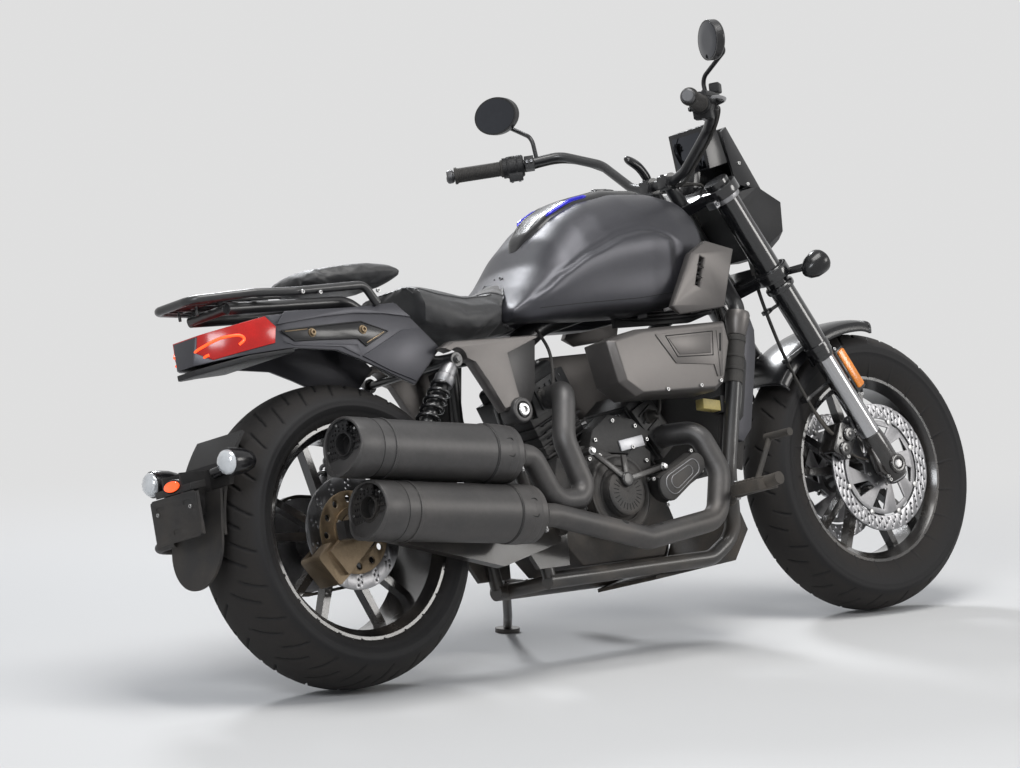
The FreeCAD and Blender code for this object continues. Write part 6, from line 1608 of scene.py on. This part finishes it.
def make_glasses():
    glass, dial = works(2, body="fork")
    for side in (1, -1):
        face_cover(glass, "mirrors", (-1, 0, 0), side, 0.5, 0.91)
    face_cover(dial, "instrument", (-1, 0, 0.3), 0, 0.4, 0.84)
    glass.done("mirror_glass", "glass")
    dial.done("instrument_glass", "glass")


# Low parts

SPRING_LOW, SPRING_HIGH = Vector((640, 268, 122)), Vector((520, 120, 205))
SPRING_FROM, SPRING_LONG, SPRING_R = 0.18, 0.64, 7


def make_low_parts():
    pads, bolts, spring = works(3)
    for side in (1, -1):
        for k in range(6):
            pads.prism(at_side(side * (268 + 13 * k), (872, 301), (926, 301), (924, 308), (874, 308)), SIDE * side * 7)
        pads.box((868, 930), (side * 262, side * 346), (278, 302))
        bolts.bolt((898, side * 346, 290), SIDE * side, 6, SIX_SIDED_HEAD)
        bolts.rod((898, side * 250, 270), (898, side * 250, 312), 6)
    run = SPRING_HIGH - SPRING_LOW
    way = run.normalized()
    across = way.orthogonal().normalized()
    along = way.cross(across)
    path = []
    for k in range(241):
        x, y = polar(SPRING_R, math.tau * k / 12)
        path.append(SPRING_LOW + run * (SPRING_FROM + SPRING_LONG * k / 240) + across * x + along * y)
    spring.pipe(path, 1.7, 6)
    spring.pipe([SPRING_LOW, path[0]], 1.8, 8)
    spring.pipe([path[-1], SPRING_HIGH], 1.8, 8)
    pads.done("peg_pads", "rubber", bevel=2.0)
    bolts.done("peg_bolts", "steel")
    spring.done("stand_spring", "steel", sharp=SHARP_SOFT)


# Stage

def make_stage():
    bpy.ops.mesh.primitive_plane_add(size=FLOOR_SIZE)
    floor = bpy.context.object
    floor.name = "floor"
    finish = Finish("floor", FLOOR_SHADE, FLOOR_ROUGH)
    spot = finish.add("ShaderNodeSeparateXYZ", None, {0: finish.place()}).outputs
    x, y = Num(finish, spot[0]), Num(finish, spot[1])
    far = ((x * x + y * y) ** 0.5).ramp(*FLOOR_FADE)
    pale = finish.add("ShaderNodeEmission", None, {"Color": WHITE, "Strength": BACKDROP}).outputs[0]
    sockets = {0: far * finish.seen(), 1: finish.shader.outputs[0], 2: pale}
    both = finish.add("ShaderNodeMixShader", None, sockets).outputs[0]
    finish.set(finish.tree.nodes["Material Output"].inputs["Surface"], both)
    floor.data.materials.append(finish.material)
    for name, place_of, size, power, shade in LAMPS:
        data = bpy.data.lights.new(name, "AREA")
        data.size = size
        data.energy = power
        data.color = shade
        lamp = held(name, data)
        lamp.location = place_of
        lamp.rotation_euler = (LAMP_TARGET - Vector(place_of)).to_track_quat("-Z", "Y").to_euler()


def make_sky():
    """Daylight for the surfaces, and plain white for what the camera, gloss and glass see."""
    world = bpy.data.worlds.new("sky")
    bpy.context.scene.world = world
    world.use_nodes = True
    nodes = Nodes(world.node_tree)
    sky = nodes.tree.nodes["Background"]
    nodes.set(sky.inputs["Color"], SKY_SHADE)
    nodes.set(sky.inputs["Strength"], SKY_STRENGTH)
    white = nodes.add("ShaderNodeBackground", None, {"Color": WHITE, "Strength": BACKDROP}).outputs[0]
    both = nodes.add("ShaderNodeMixShader", None, {0: nodes.seen(), 1: sky.outputs[0], 2: white}).outputs[0]
    nodes.set(nodes.tree.nodes["World Output"].inputs["Surface"], both)


def make_camera():
    data = bpy.data.cameras.new("eye")
    data.lens = EYE_LENS
    data.sensor_width = EYE_SENSOR
    data.clip_end = CLIP_END
    eye = held("eye", data)
    eye.location = EYE
    yaw, pitch = math.radians(EYE_YAW), math.radians(EYE_PITCH)
    ahead = Vector((*polar(math.cos(pitch), yaw), math.sin(pitch)))
    eye.rotation_euler = ahead.to_track_quat("-Z", "Y").to_euler()
    bpy.context.scene.camera = eye
    bpy.context.scene.view_settings.view_transform = "Standard"


PIECES = (
    make_edged_nodes, make_tyres, make_front_discs, make_rear_disc, make_front_fender, make_seats, make_tank,
    make_silencers, make_shocks, make_tail, make_rack, make_plate_end, make_fork, make_calipers, make_front_end,
    make_covers, make_shrouds, make_radiator_parts, make_loom, make_clutch_cover, make_cylinder_parts, make_grips,
    make_bar_parts, make_cables, make_glasses, make_low_parts,
)


def main():
    make_camera()
    dress_nodes()
    for make in PIECES:
        make()
    make_stage()
    make_sky()


main()
